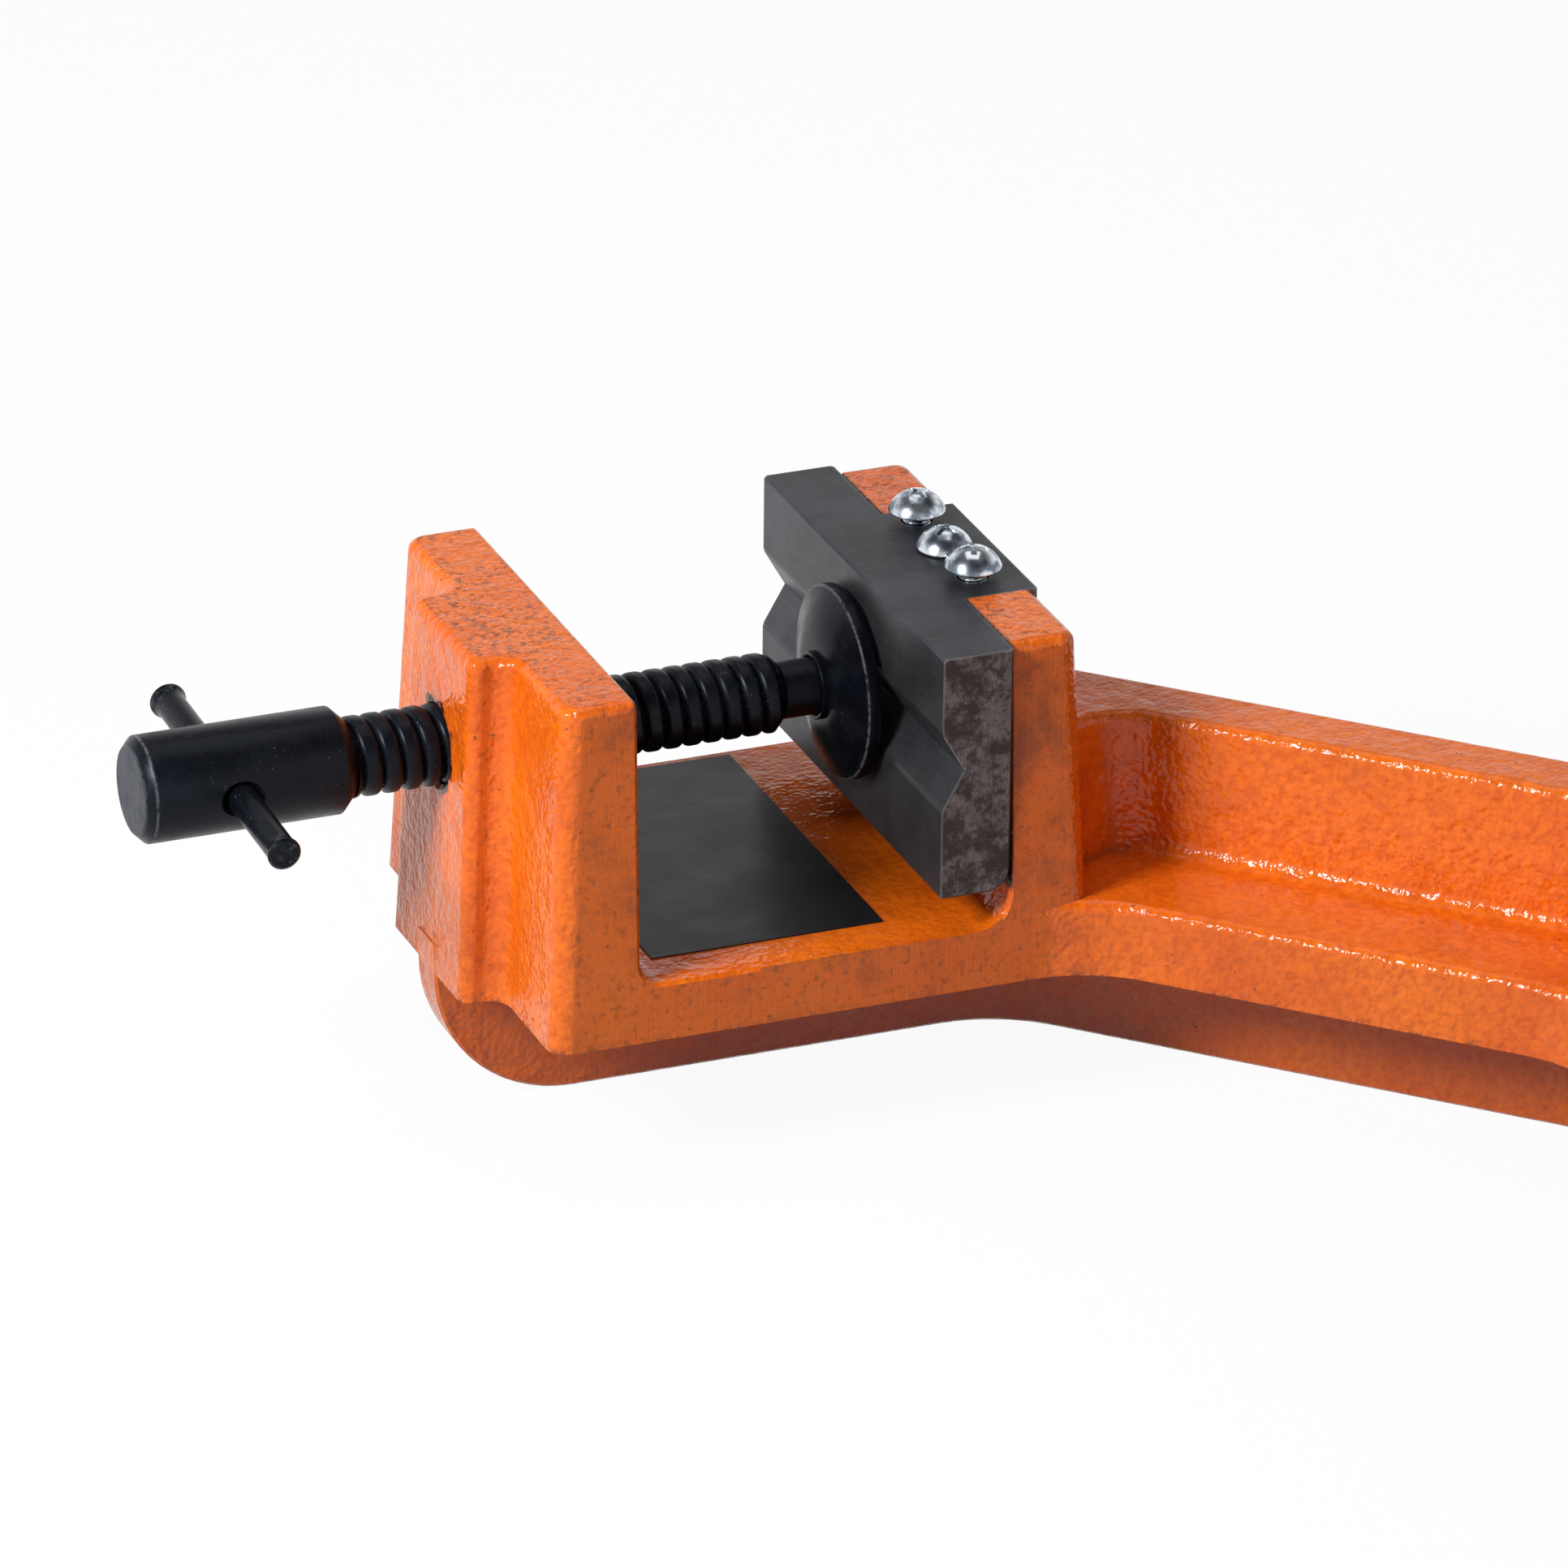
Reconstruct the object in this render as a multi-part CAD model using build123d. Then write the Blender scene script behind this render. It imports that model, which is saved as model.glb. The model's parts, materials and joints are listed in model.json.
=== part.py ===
"""Corner vise: two clamping heads at right angles on one iron casting.

Each head is drawn in its own frame: x runs along the screw towards the fixed jaw, whose
face is x = 0, y runs along the jaw, and z is the height above the bench. Head A is then
moved to the assembly's frame, and head B is its mirror image in the plane x = y.
Millimetres throughout.
"""
from build123d import *
import os
from math import radians, sqrt, tan

# Casting: heights above the bench
HEAD_TOP = 105.9
BED_UNDERSIDE = 30.9
BED_THICK = 12.5
FLANGE_THICK = 16.0
WEB_TOP = 77.2
SCREW_HEIGHT = 80.4

# Casting: plan sizes, measured at the underside of the bed
HEAD_WIDTH = 101.4
THROAT = 65.6
OUTER_WALL = 19.2
FIXED_WALL = 18.4
BOSS_WIDTH = 42.0
BOSS_PROUD = 9.0
ARM_WIDTH = 73.0
WEB_THICK = 15.8
KEEL_THICK = 10.5
CORNER_REACH = 160.0
ARM_ANGLE = 45.0
DRAFT = 2.5
FLANGE_RUN_IN = 40.0
WEB_RUN_IN = 10.5

# Casting: round edges and roots
OUTER_CORNER = 4.5
BOSS_CORNER = 2.8
BOSS_ROOT = 4.8
BACK_CORNER = 3.4
TOP_EDGE = 2.2
THROAT_EDGE = 0.8
WALL_ROOT = 5.0
JAW_ROOT = 7.5
WEB_ROOT_CLEAR = 1.0
WEB_ROOT_FAR = 13.0
WEB_SEAM = 3.5
WEB_END = 0.3
ARM_BEND = 30.0
ARM_FAR_BEND = 20.0
KEEL_END = 30.5
KEEL_EDGE = 0.6
BORE_CHAMFER = 0.6

# Jaw plate and its screws
JAW_WIDTH = 100.0
JAW_HEIGHT = 54.0
JAW_THICK = 15.5
JAW_EDGE = 0.6
JAW_HEEL = 5.0
GROOVE_MOUTH = 17.0
GROOVE_ANGLE = 120.0
TONGUE_WIDTH = 46.0
TONGUE_THICK = 8.0
TONGUE_OVERHANG = 1.0
SCREW_COUNT = 3
SCREW_PITCH = 15.4
SCREW_SETBACK = 5.9
SCREW_SHIFT = 2.3
SCREW_SHANK = 6.0
SCREW_LENGTH = 22.0
SCREW_HEAD = 12.0
SCREW_HEAD_HEIGHT = 4.5
SCREW_CROWN = 2.4
SCREW_PROUD = 2.3
SCREW_SEATED = 0.3

# Spindle and tommy bar
THREAD = 17.0
THREAD_END = 16.5
NECK = 12.0
WAIST = 9.4
NECK_END_CHAMFER = 1.0
HANDLE = 22.5
HANDLE_LENGTH = 47.0
HANDLE_END = 157.5
HANDLE_CHAMFER = 2.0
HANDLE_NOSE = 3.8
BAR = 6.3
BAR_LENGTH = 73.0
BAR_FROM_END = 20.3
BAR_LEAN = 2.5
BAR_KNOB = 7.8
BAR_KNOB_LENGTH = 3.0

# Swivel pad and the ring that keeps it on the neck
PAD = 41.2
PAD_GAP = 1.2
PAD_RIM = 3.0
PAD_RIM_EDGE = 0.8
PAD_DOME = 3.6
PAD_DOME_SHOULDER = 2.3
PAD_HUB = 14.4
PAD_HUB_DEPTH = 7.8
PAD_FLOOR = 2.0
RING_THICK = 1.6
RING_INNER = 10.8
RING_OUTER = 14.0
RING_FROM_END = 2.4

# Label on the bed of head A
LABEL_LENGTH = 51.0
LABEL_WIDTH = 87.0
LABEL_FROM_JAW = 8.0
LABEL_SHIFT = 4.7
LABEL_THICK = 0.3

# Clearances
THREAD_CLEARANCE = 0.06
BAR_CLEARANCE = 0.08
SHANK_CLEARANCE = 0.05
HOLE_CLEARANCE = 0.4
NOTCH_CLEARANCE = 0.1
SWIVEL_CLEARANCE = 0.3

BED_TOP = BED_UNDERSIDE + BED_THICK
FLANGE_TOP = BED_UNDERSIDE + FLANGE_THICK
WALL_BACK = JAW_THICK + FIXED_WALL
WALL_OUTER = -THROAT - OUTER_WALL
BOSS_OUTER = WALL_OUTER - BOSS_PROUD
SCREW_LINE = JAW_THICK + SCREW_SETBACK
HALF_HEAD = HEAD_WIDTH / 2
LEAN = tan(radians(DRAFT))
BIG = 4 * HEAD_TOP

# The assembly's frame has its origin under the middle of the whole vise
CENTRE_X = (CORNER_REACH + HALF_HEAD - HANDLE_END) / 2
CENTRE_Y = CENTRE_X - CORNER_REACH
MIRROR_PLANE = Plane(origin=(0, 0, 0), z_dir=(1, -1, 0))


def seat(shape, head):
    """Move a piece drawn in the head's frame to head A, or mirror it to head B."""
    placed = Pos(-CENTRE_X, -CENTRE_Y, 0) * shape
    if head == "b":
        placed = mirror(placed, about=MIRROR_PLANE)
    return placed


def across(point):
    """The mirror image, in head A's frame, of a plan point of head A."""
    return (point[1] + CORNER_REACH, point[0] - CORNER_REACH)


def bridge(near_side, far_side):
    """Plan outline from head A to head B: its near points, their images, and back."""
    near_images = [across(p) for p in reversed(near_side)]
    far_images = [across(p) for p in reversed(far_side)]
    return Polygon(*near_side, *near_images, *reversed(far_images), *reversed(far_side), align=None)


def round_corners(outline, points, radius):
    """Round the corners of a plan outline that lie at the given points."""
    corners = []
    for x, y in points:
        corners.append(min(outline.vertices(), key=lambda v: (v.X - x) ** 2 + (v.Y - y) ** 2))
    return fillet(corners, radius)


def drafted(outline, low, high):
    """Upright solid whose sides lean inwards by the casting's draft."""
    solid = extrude(Pos(0, 0, low) * outline, high - low, dir=(0, 0, 1))
    sides = [face for face in solid.faces() if abs(face.normal_at().Z) < 0.5]
    return draft(sides, Plane.XY.offset(low), DRAFT)


def level_edges(solid, height):
    """The edges that lie at one height."""
    return solid.edges().filter_by_position(Axis.Z, height - 0.01, height + 0.01)


def upright_edges(solid, low, points):
    """The rising edges whose feet stand at the given plan points."""
    found = []
    for x, y in points:
        for edge in solid.edges():
            heights = [v.Z for v in edge.vertices()]
            if max(heights) - min(heights) < 1:
                continue
            for v in edge.vertices():
                if abs(v.Z - low) < 0.01 and abs(v.X - x) < 0.1 and abs(v.Y - y) < 0.1:
                    found.append(edge)
    return found


def throat():
    """The space over the bed between the outer wall and the fixed wall."""
    height = HEAD_TOP + BIG - BED_TOP
    space = Box(THROAT + JAW_THICK, 2 * HEAD_WIDTH, height)
    space = Pos((JAW_THICK - THROAT) / 2, 0, BED_TOP + height / 2) * space
    floor_edges = level_edges(space, BED_TOP).filter_by(Axis.Y).sort_by(Axis.X)
    space = fillet(floor_edges[-1], JAW_ROOT)
    floor_edges = level_edges(space, BED_TOP).filter_by(Axis.Y).sort_by(Axis.X)
    return fillet(floor_edges[0], WALL_ROOT)


def head_block():
    """One head's bed and its two walls, with the boss down the outer wall."""
    half_boss = BOSS_WIDTH / 2
    back = [(WALL_BACK, -HALF_HEAD), (WALL_BACK, HALF_HEAD)]
    corners = [(WALL_OUTER, HALF_HEAD), (WALL_OUTER, -HALF_HEAD)]
    roots = [(WALL_OUTER, half_boss), (WALL_OUTER, -half_boss)]
    boss = [(BOSS_OUTER, half_boss), (BOSS_OUTER, -half_boss)]
    outline = Polygon(*back, corners[0], roots[0], *boss, roots[1], corners[1], align=None)
    block = drafted(outline, BED_UNDERSIDE, HEAD_TOP)
    block = fillet(upright_edges(block, BED_UNDERSIDE, roots), BOSS_ROOT)
    block = fillet(upright_edges(block, BED_UNDERSIDE, boss), BOSS_CORNER)
    block = fillet(upright_edges(block, BED_UNDERSIDE, corners), OUTER_CORNER)
    block = fillet(upright_edges(block, BED_UNDERSIDE, back), BACK_CORNER)
    block = fillet(level_edges(block, HEAD_TOP), TOP_EDGE)
    block -= throat()
    return chamfer(throat_edges(block), THROAT_EDGE)


def throat_edges(block):
    """The edges that the throat cuts in the two side faces of a head."""
    found = []
    for edge in block.edges():
        box = edge.bounding_box()
        at_side = min(abs(box.min.Y), abs(box.max.Y)) > HALF_HEAD - 5 and box.size.Y < 4
        in_throat = box.min.X > -THROAT - 0.1 and box.max.X < JAW_THICK + 0.1
        if at_side and in_throat and box.min.Z > BED_TOP - 0.1:
            found.append(edge)
    return found


def arm_flange():
    """The level plate of the arm, which runs on under both heads."""
    half_arm = ARM_WIDTH / sqrt(2)
    inside = -FLANGE_RUN_IN
    near_bend = (WALL_BACK - half_arm + HALF_HEAD, -HALF_HEAD)
    far_bend = (WALL_BACK + half_arm - HALF_HEAD, HALF_HEAD)
    outline = bridge([(inside, -HALF_HEAD), near_bend], [(inside, HALF_HEAD), far_bend])
    plate = drafted(outline, BED_UNDERSIDE, FLANGE_TOP)
    near_bends = upright_edges(plate, BED_UNDERSIDE, [near_bend, across(near_bend)])
    plate = fillet(near_bends, ARM_BEND)
    far_bends = upright_edges(plate, BED_UNDERSIDE, [far_bend, across(far_bend)])
    plate = fillet(far_bends, ARM_FAR_BEND)
    return fillet(level_edges(plate, FLANGE_TOP), TOP_EDGE)


def arm_web():
    """The upright web of the arm, with its roots spread along the backs of both fixed walls."""
    foot = (WEB_THICK / 2 + (WEB_TOP - BED_UNDERSIDE) * LEAN) * sqrt(2)
    inside = WALL_BACK - WEB_RUN_IN
    half_root = HALF_HEAD - BACK_CORNER - WEB_END
    near_root = (WALL_BACK, -foot)
    far_root = (WALL_BACK, foot)
    near_side = [(inside, -half_root), (WALL_BACK, -half_root), near_root]
    far_side = [(inside, half_root), (WALL_BACK, half_root), far_root]
    web = drafted(bridge(near_side, far_side), BED_UNDERSIDE, WEB_TOP)
    near_roots = upright_edges(web, BED_UNDERSIDE, [near_root, across(near_root)])
    web = fillet(near_roots, (half_root - foot - WEB_ROOT_CLEAR) * tan(radians(ARM_ANGLE / 2)))
    far_roots = upright_edges(web, BED_UNDERSIDE, [far_root, across(far_root)])
    web = fillet(far_roots, WEB_ROOT_FAR)
    return fillet(level_edges(web, WEB_TOP), TOP_EDGE)


def web_seam():
    """Straight length of the arm's section where the web stands on the flange, with round seams."""
    foot = WEB_THICK / 2 + (WEB_TOP - FLANGE_TOP) * LEAN
    high = FLANGE_TOP + 2 * WEB_SEAM
    low = FLANGE_TOP - 2 * WEB_SEAM
    brow = foot - 2 * WEB_SEAM * LEAN
    ledge = foot + 2 * WEB_SEAM
    section = Polygon(
        (-ledge, low), (ledge, low), (ledge, FLANGE_TOP), (foot, FLANGE_TOP), (brow, high),
        (-brow, high), (-foot, FLANGE_TOP), (-ledge, FLANGE_TOP),
        align=None,
    )
    section = round_corners(section, [(foot, FLANGE_TOP), (-foot, FLANGE_TOP)], WEB_SEAM)
    middle = ((WALL_BACK + CORNER_REACH) / 2, (WALL_BACK - CORNER_REACH) / 2, 0)
    half_length = (middle[0] - WALL_BACK) * sqrt(2) + ledge
    across_arm = Plane(origin=middle, x_dir=(1, 1, 0), z_dir=(1, -1, 0))
    return extrude(across_arm * section, half_length, both=True)


def keel():
    """The rib under the beds and the arm, on which the vise stands."""
    half = KEEL_THICK / 2
    near_bend = (WALL_BACK - half * sqrt(2) + half, -half)
    far_bend = (WALL_BACK + half * sqrt(2) - half, half)
    outline = bridge([(BOSS_OUTER, -half), near_bend], [(BOSS_OUTER, half), far_bend])
    outline = round_corners(outline, [near_bend, across(near_bend)], ARM_BEND)
    outline = round_corners(outline, [far_bend, across(far_bend)], ARM_BEND + KEEL_THICK)
    rib = extrude(outline, BED_UNDERSIDE + BED_THICK / 2, dir=(0, 0, 1))
    ends = [e for e in level_edges(rib, 0) if abs(e.length - KEEL_THICK) < 0.01]
    rib = fillet(ends, KEEL_END)
    return chamfer(level_edges(rib, 0), KEEL_EDGE)


def along_x(radius, start, end, y=0, z=SCREW_HEIGHT):
    """Round bar along x between two stations."""
    return Pos((start + end) / 2, y, z) * Rot(0, 90, 0) * Cylinder(radius, end - start)


def spindle_bore():
    """The screw's hole through the outer wall, with a chamfer at both mouths."""
    radius = THREAD / 2 + THREAD_CLEARANCE
    mouth = BOSS_OUTER + (SCREW_HEIGHT - BED_UNDERSIDE) * LEAN
    hole = along_x(radius, BOSS_OUTER - 1, -THROAT + 1)
    cone = Cone(radius, radius + 2 * BORE_CHAMFER, 2 * BORE_CHAMFER)
    inner = Pos(-THROAT, 0, SCREW_HEIGHT) * Rot(0, 90, 0) * cone
    outer = Pos(mouth, 0, SCREW_HEIGHT) * Rot(0, -90, 0) * cone
    return hole + inner + outer


def tongue_notch():
    """The seat cut in the fixed wall's top for the jaw plate's tongue."""
    width = TONGUE_WIDTH + 2 * NOTCH_CLEARANCE
    length = 2 * FIXED_WALL
    notch = Box(length, width, 2 * TONGUE_THICK)
    return Pos(JAW_THICK + length / 2, 0, HEAD_TOP) * notch


def screw_places():
    """Each jaw screw's place along the jaw and the height of its head above the jaw's top."""
    middle = (SCREW_COUNT - 1) / 2
    places = []
    for number in range(SCREW_COUNT):
        proud = SCREW_SEATED if number == middle else SCREW_PROUD
        places.append((SCREW_SHIFT + (middle - number) * SCREW_PITCH, proud))
    return places


def screw_holes(radius, low):
    """Holes for the jaw screws, from a height up past the head's top."""
    depth = HEAD_TOP + 1 - low
    holes = []
    for y, proud in screw_places():
        holes.append(Pos(SCREW_LINE, y, low + depth / 2) * Cylinder(radius, depth))
    return holes


def frame_casting():
    """Both heads, the arm between them and the keel, cast in one piece."""
    cut_a = seat(throat(), "a")
    cut_b = seat(throat(), "b")
    arm = seat(arm_flange() + arm_web() + web_seam(), "a")
    arm = arm - cut_a - cut_b
    body = arm + seat(head_block(), "a") + seat(head_block(), "b") + seat(keel(), "a")
    tap_low = HEAD_TOP + SCREW_SEATED - SCREW_LENGTH - 2
    for head in "ab":
        body -= seat(spindle_bore(), head)
        body -= seat(tongue_notch(), head)
        for hole in screw_holes(SCREW_SHANK / 2 + SHANK_CLEARANCE, tap_low):
            body -= seat(hole, head)
    return body


def groove_depth():
    """Depth of the V groove from its mouth and its angle."""
    return GROOVE_MOUTH / 2 / tan(radians(GROOVE_ANGLE / 2))


def jaw_plate():
    """Steel jaw: a thick plate with a level V groove, hung on the wall by its top tongue."""
    low = HEAD_TOP - JAW_HEIGHT
    half_mouth = GROOVE_MOUTH / 2
    profile = Polygon(
        (0, low), (JAW_THICK, low), (JAW_THICK, HEAD_TOP), (0, HEAD_TOP),
        (0, SCREW_HEIGHT + half_mouth), (groove_depth(), SCREW_HEIGHT), (0, SCREW_HEIGHT - half_mouth),
        align=None,
    )
    profile = round_corners(profile, [(JAW_THICK, low)], JAW_HEEL)
    plate = extrude(Plane.XZ * profile, JAW_WIDTH / 2, both=True)
    front = [e for e in plate.edges() if e.center().X < 0.01 and e.length > JAW_HEIGHT]
    back = plate.edges().filter_by(Axis.Z).sort_by(Axis.X)[-2:]
    plate = chamfer(front + back, JAW_EDGE)
    length = wall_top_depth() + TONGUE_OVERHANG
    tongue = Box(length, TONGUE_WIDTH, TONGUE_THICK)
    plate += Pos(JAW_THICK + length / 2, 0, HEAD_TOP - TONGUE_THICK / 2) * tongue
    for hole in screw_holes(SCREW_SHANK / 2 + HOLE_CLEARANCE, HEAD_TOP - TONGUE_THICK - 1):
        plate -= hole
    return plate


def wall_top_depth():
    """Thickness of the fixed wall at its top, where the draft has narrowed it."""
    return FIXED_WALL - (HEAD_TOP - BED_UNDERSIDE) * LEAN


def jaw_screw(y, proud):
    """Pan-head screw through the tongue into the wall."""
    head_low = HEAD_TOP + proud
    shank_low = HEAD_TOP + SCREW_SEATED - SCREW_LENGTH
    pan = extrude(Pos(0, 0, head_low) * Circle(SCREW_HEAD / 2), SCREW_HEAD_HEIGHT)
    pan = chamfer(level_edges(pan, head_low + SCREW_HEAD_HEIGHT), SCREW_CROWN)
    shank = extrude(Pos(0, 0, shank_low) * Circle(SCREW_SHANK / 2), head_low - shank_low)
    return Pos(SCREW_LINE, y, 0) * (pan + shank)


def pad_back():
    """Station of the pad hub's back."""
    return -PAD_GAP - PAD_HUB_DEPTH


def neck_end():
    """Station of the neck's end, just off the floor of the pad's socket."""
    return -PAD_GAP - PAD_FLOOR - SWIVEL_CLEARANCE


def ring_station():
    """Station of the retaining ring, in the neck's waist and the pad's groove."""
    return neck_end() - RING_FROM_END


def ring_space():
    """Half the width of the waist and of the groove that hold the ring."""
    return RING_THICK / 2 + SWIVEL_CLEARANCE


def turned(profile):
    """Solid of revolution about the screw's axis from a profile of (x, radius) points."""
    face = Plane.XZ * Polygon(*[(x, SCREW_HEIGHT + r) for x, r in profile], align=None)
    return revolve(face, axis=Axis((0, 0, SCREW_HEIGHT), (1, 0, 0)))


def bar_axis():
    """Where the tommy bar crosses the screw's axis."""
    return -HANDLE_END + BAR_FROM_END


def cross_bar(radius, length):
    """Round bar through the handle along the tommy bar's leaning line."""
    return Pos(bar_axis(), 0, SCREW_HEIGHT) * Rot(90 + BAR_LEAN, 0, 0) * Cylinder(radius, length)


def spindle():
    """The screw: handle head, threaded length at its crest size, and neck with its waist."""
    head_end = -HANDLE_END + HANDLE_LENGTH
    handle = HANDLE / 2
    thread = THREAD / 2
    neck = NECK / 2
    waist_start = ring_station() - ring_space()
    waist_end = ring_station() + ring_space()
    body = turned([
        (-HANDLE_END, 0), (-HANDLE_END, handle - HANDLE_CHAMFER), (-HANDLE_END + HANDLE_CHAMFER, handle),
        (head_end - HANDLE_NOSE, handle), (head_end, handle - HANDLE_NOSE), (head_end, thread),
        (-THREAD_END - thread + neck, thread), (-THREAD_END, neck),
        (waist_start, neck), (waist_start, WAIST / 2), (waist_end, WAIST / 2), (waist_end, neck),
        (neck_end() - NECK_END_CHAMFER, neck), (neck_end(), neck - NECK_END_CHAMFER), (neck_end(), 0),
    ])
    return body - cross_bar(BAR / 2 + BAR_CLEARANCE, 2 * HANDLE)


def tommy_bar():
    """The sliding cross bar, with its two ends upset so that it can't fall out."""
    bar = cross_bar(BAR / 2, BAR_LENGTH)
    for end in (-1, 1):
        knob = Cylinder(BAR_KNOB / 2, BAR_KNOB_LENGTH)
        knob = chamfer(knob.edges(), (BAR_KNOB - BAR) / 2)
        place = Pos(0, 0, end * (BAR_LENGTH - BAR_KNOB_LENGTH) / 2)
        bar += Pos(bar_axis(), 0, SCREW_HEIGHT) * Rot(90 + BAR_LEAN, 0, 0) * place * knob
    return bar


def swivel_pad():
    """Domed round pad with a blind socket for the neck and a groove for the ring."""
    rim = PAD / 2
    hub = PAD_HUB / 2
    rim_back = -PAD_GAP - PAD_RIM
    hub_root = rim_back - PAD_DOME
    pad = turned([
        (-PAD_GAP, 0), (-PAD_GAP, rim - PAD_RIM_EDGE), (-PAD_GAP - PAD_RIM_EDGE, rim),
        (rim_back, rim), (rim_back - PAD_DOME_SHOULDER, (rim + hub) / 2), (hub_root, hub),
        (pad_back(), hub), (pad_back(), 0),
    ])
    pad -= along_x(NECK / 2 + SWIVEL_CLEARANCE, pad_back() - 1, -PAD_GAP - PAD_FLOOR)
    groove_start = ring_station() - ring_space()
    groove_end = ring_station() + ring_space()
    return pad - along_x(RING_OUTER / 2 + SWIVEL_CLEARANCE, groove_start, groove_end)


def pad_ring():
    """Flat retaining ring that sits in the pad's groove and round the neck's waist."""
    start = ring_station() - RING_THICK / 2
    end = ring_station() + RING_THICK / 2
    return along_x(RING_OUTER / 2, start, end) - along_x(RING_INNER / 2, start - 1, end + 1)


def bed_label():
    """Thin blank label on the bed."""
    plate = Box(LABEL_LENGTH, LABEL_WIDTH, LABEL_THICK)
    return Pos(-LABEL_FROM_JAW - LABEL_LENGTH / 2, LABEL_SHIFT, BED_TOP + LABEL_THICK / 2) * plate


def save(shape, name):
    """Write one piece as its own STEP file."""
    export_step(shape, f"parts/{name}.step")


os.makedirs("parts", exist_ok=True)
save(frame_casting(), "frame_casting")
save(seat(bed_label(), "a"), "bed_label")
for head in "ab":
    save(seat(jaw_plate(), head), f"jaw_plate_{head}")
    for number, (y, proud) in enumerate(screw_places(), start=1):
        save(seat(jaw_screw(y, proud), head), f"jaw_screw_{head}{number}")
    save(seat(spindle(), head), f"spindle_{head}")
    save(seat(tommy_bar(), head), f"tommy_bar_{head}")
    save(seat(swivel_pad(), head), f"swivel_pad_{head}")
    save(seat(pad_ring(), head), f"pad_ring_{head}")
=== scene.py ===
"""Finishes and fine shapes of a corner vise with two screw clamping heads.

Head A's jaw faces -X and its screw runs along +X. Head B is the same head mirrored in the plane
x = y. Every new piece is worked out in the head's own frame, where x runs along the screw
towards the jaw, y runs along the jaw, z is up, and the origin is on the screw's axis at the
jaw's face. Lengths are in metres.
"""
import json
import math

import bpy
import numpy as np
from mathutils import Matrix, Vector

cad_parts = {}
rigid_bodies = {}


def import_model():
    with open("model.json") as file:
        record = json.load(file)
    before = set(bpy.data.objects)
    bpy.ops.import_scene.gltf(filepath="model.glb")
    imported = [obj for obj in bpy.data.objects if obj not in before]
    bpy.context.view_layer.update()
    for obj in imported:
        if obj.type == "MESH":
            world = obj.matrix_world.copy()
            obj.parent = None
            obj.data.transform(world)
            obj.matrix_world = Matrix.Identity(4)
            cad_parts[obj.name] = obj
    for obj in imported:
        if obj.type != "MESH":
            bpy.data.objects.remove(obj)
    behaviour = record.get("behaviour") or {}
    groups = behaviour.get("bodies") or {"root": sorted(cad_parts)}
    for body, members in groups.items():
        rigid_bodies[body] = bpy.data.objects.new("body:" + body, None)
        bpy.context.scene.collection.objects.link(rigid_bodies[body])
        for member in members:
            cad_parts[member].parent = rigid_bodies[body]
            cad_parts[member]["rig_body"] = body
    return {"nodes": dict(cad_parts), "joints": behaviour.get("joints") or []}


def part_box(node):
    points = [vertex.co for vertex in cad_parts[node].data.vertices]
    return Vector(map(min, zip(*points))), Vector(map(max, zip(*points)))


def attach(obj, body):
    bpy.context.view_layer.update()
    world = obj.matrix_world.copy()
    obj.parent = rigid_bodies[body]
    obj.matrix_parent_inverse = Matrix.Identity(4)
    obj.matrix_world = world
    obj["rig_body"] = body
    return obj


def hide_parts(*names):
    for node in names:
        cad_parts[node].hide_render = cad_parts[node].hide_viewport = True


bl_info = {
    "name": "Corner vise finishes",
    "version": (1, 0, 0),
    "blender": (4, 5, 0),
    "location": "3D View > Sidebar > Vise",
    "description": "Threads, screws, pads and finishes of a corner vise, with its studio stage",
    "category": "Object",
}

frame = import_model()
NODES = frame["nodes"]
JOINTS = {joint["name"]: joint for joint in frame["joints"]}
HEADS = ("a", "b")
MM = 0.001


# Places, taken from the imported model


def node_box(node):
    """Lowest and highest corner of a node, as arrays."""
    low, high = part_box(node)
    return np.array(low), np.array(high)


def head_axes(head):
    """Which frame axis runs along a head's screw, and which runs along its jaw."""
    return (0, 1) if head == "a" else (1, 0)


def thread_hand(head):
    """1 where a right-hand thread is one in the head's own frame too, -1 in head B's mirrored frame."""
    return 1 if head == "a" else -1


def head_origin(head):
    """The point of the jaw's face that the screw's axis meets."""
    along, _ = head_axes(head)
    jaw_low, _ = node_box(f"jaw_plate_{head}")
    low, high = node_box(f"spindle_{head}")
    origin = (low + high) / 2
    origin[along] = jaw_low[along]
    return origin


def to_frame(local, head):
    """Points of a head's own frame as points of the model's frame."""
    along, side = head_axes(head)
    placed = np.array(local, float)
    placed[..., along] = local[..., 0]
    placed[..., side] = local[..., 1]
    return placed + head_origin(head)


def to_head(placed, head):
    """Points of the model's frame as points of a head's own frame."""
    along, side = head_axes(head)
    moved = placed - head_origin(head)
    local = moved.copy()
    local[..., 0] = moved[..., along]
    local[..., 1] = moved[..., side]
    return local


def head_box(node, head):
    """Lowest and highest corner of a node in its head's own frame."""
    low, high = node_box(node)
    return to_head(low, head), to_head(high, head)


def radius_of(node):
    """Radius of a node that is turned about a level axis, from its height."""
    low, high = node_box(node)
    return (high[2] - low[2]) / 2


# Surfaces

HANDLE_SIDES = 96
HOLE_SIDES = 48
THREAD_SIDES = 72
BAR_SIDES = 48
PAD_SIDES = 120
SCREW_SIDES = 160
SHARP_ANGLE = math.radians(32)


def new_mesh(name, vertices, faces):
    """A mesh from arrays of points and of faces that all have as many corners."""
    mesh = bpy.data.meshes.new(name)
    mesh.vertices.add(len(vertices))
    mesh.vertices.foreach_set("co", vertices.astype(np.float32).ravel())
    corners = faces.shape[1]
    mesh.loops.add(faces.size)
    mesh.loops.foreach_set("vertex_index", faces.astype(np.int32).ravel())
    mesh.polygons.add(len(faces))
    mesh.polygons.foreach_set("loop_start", np.arange(len(faces), dtype=np.int32) * corners)
    mesh.update(calc_edges=True)
    return mesh


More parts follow.
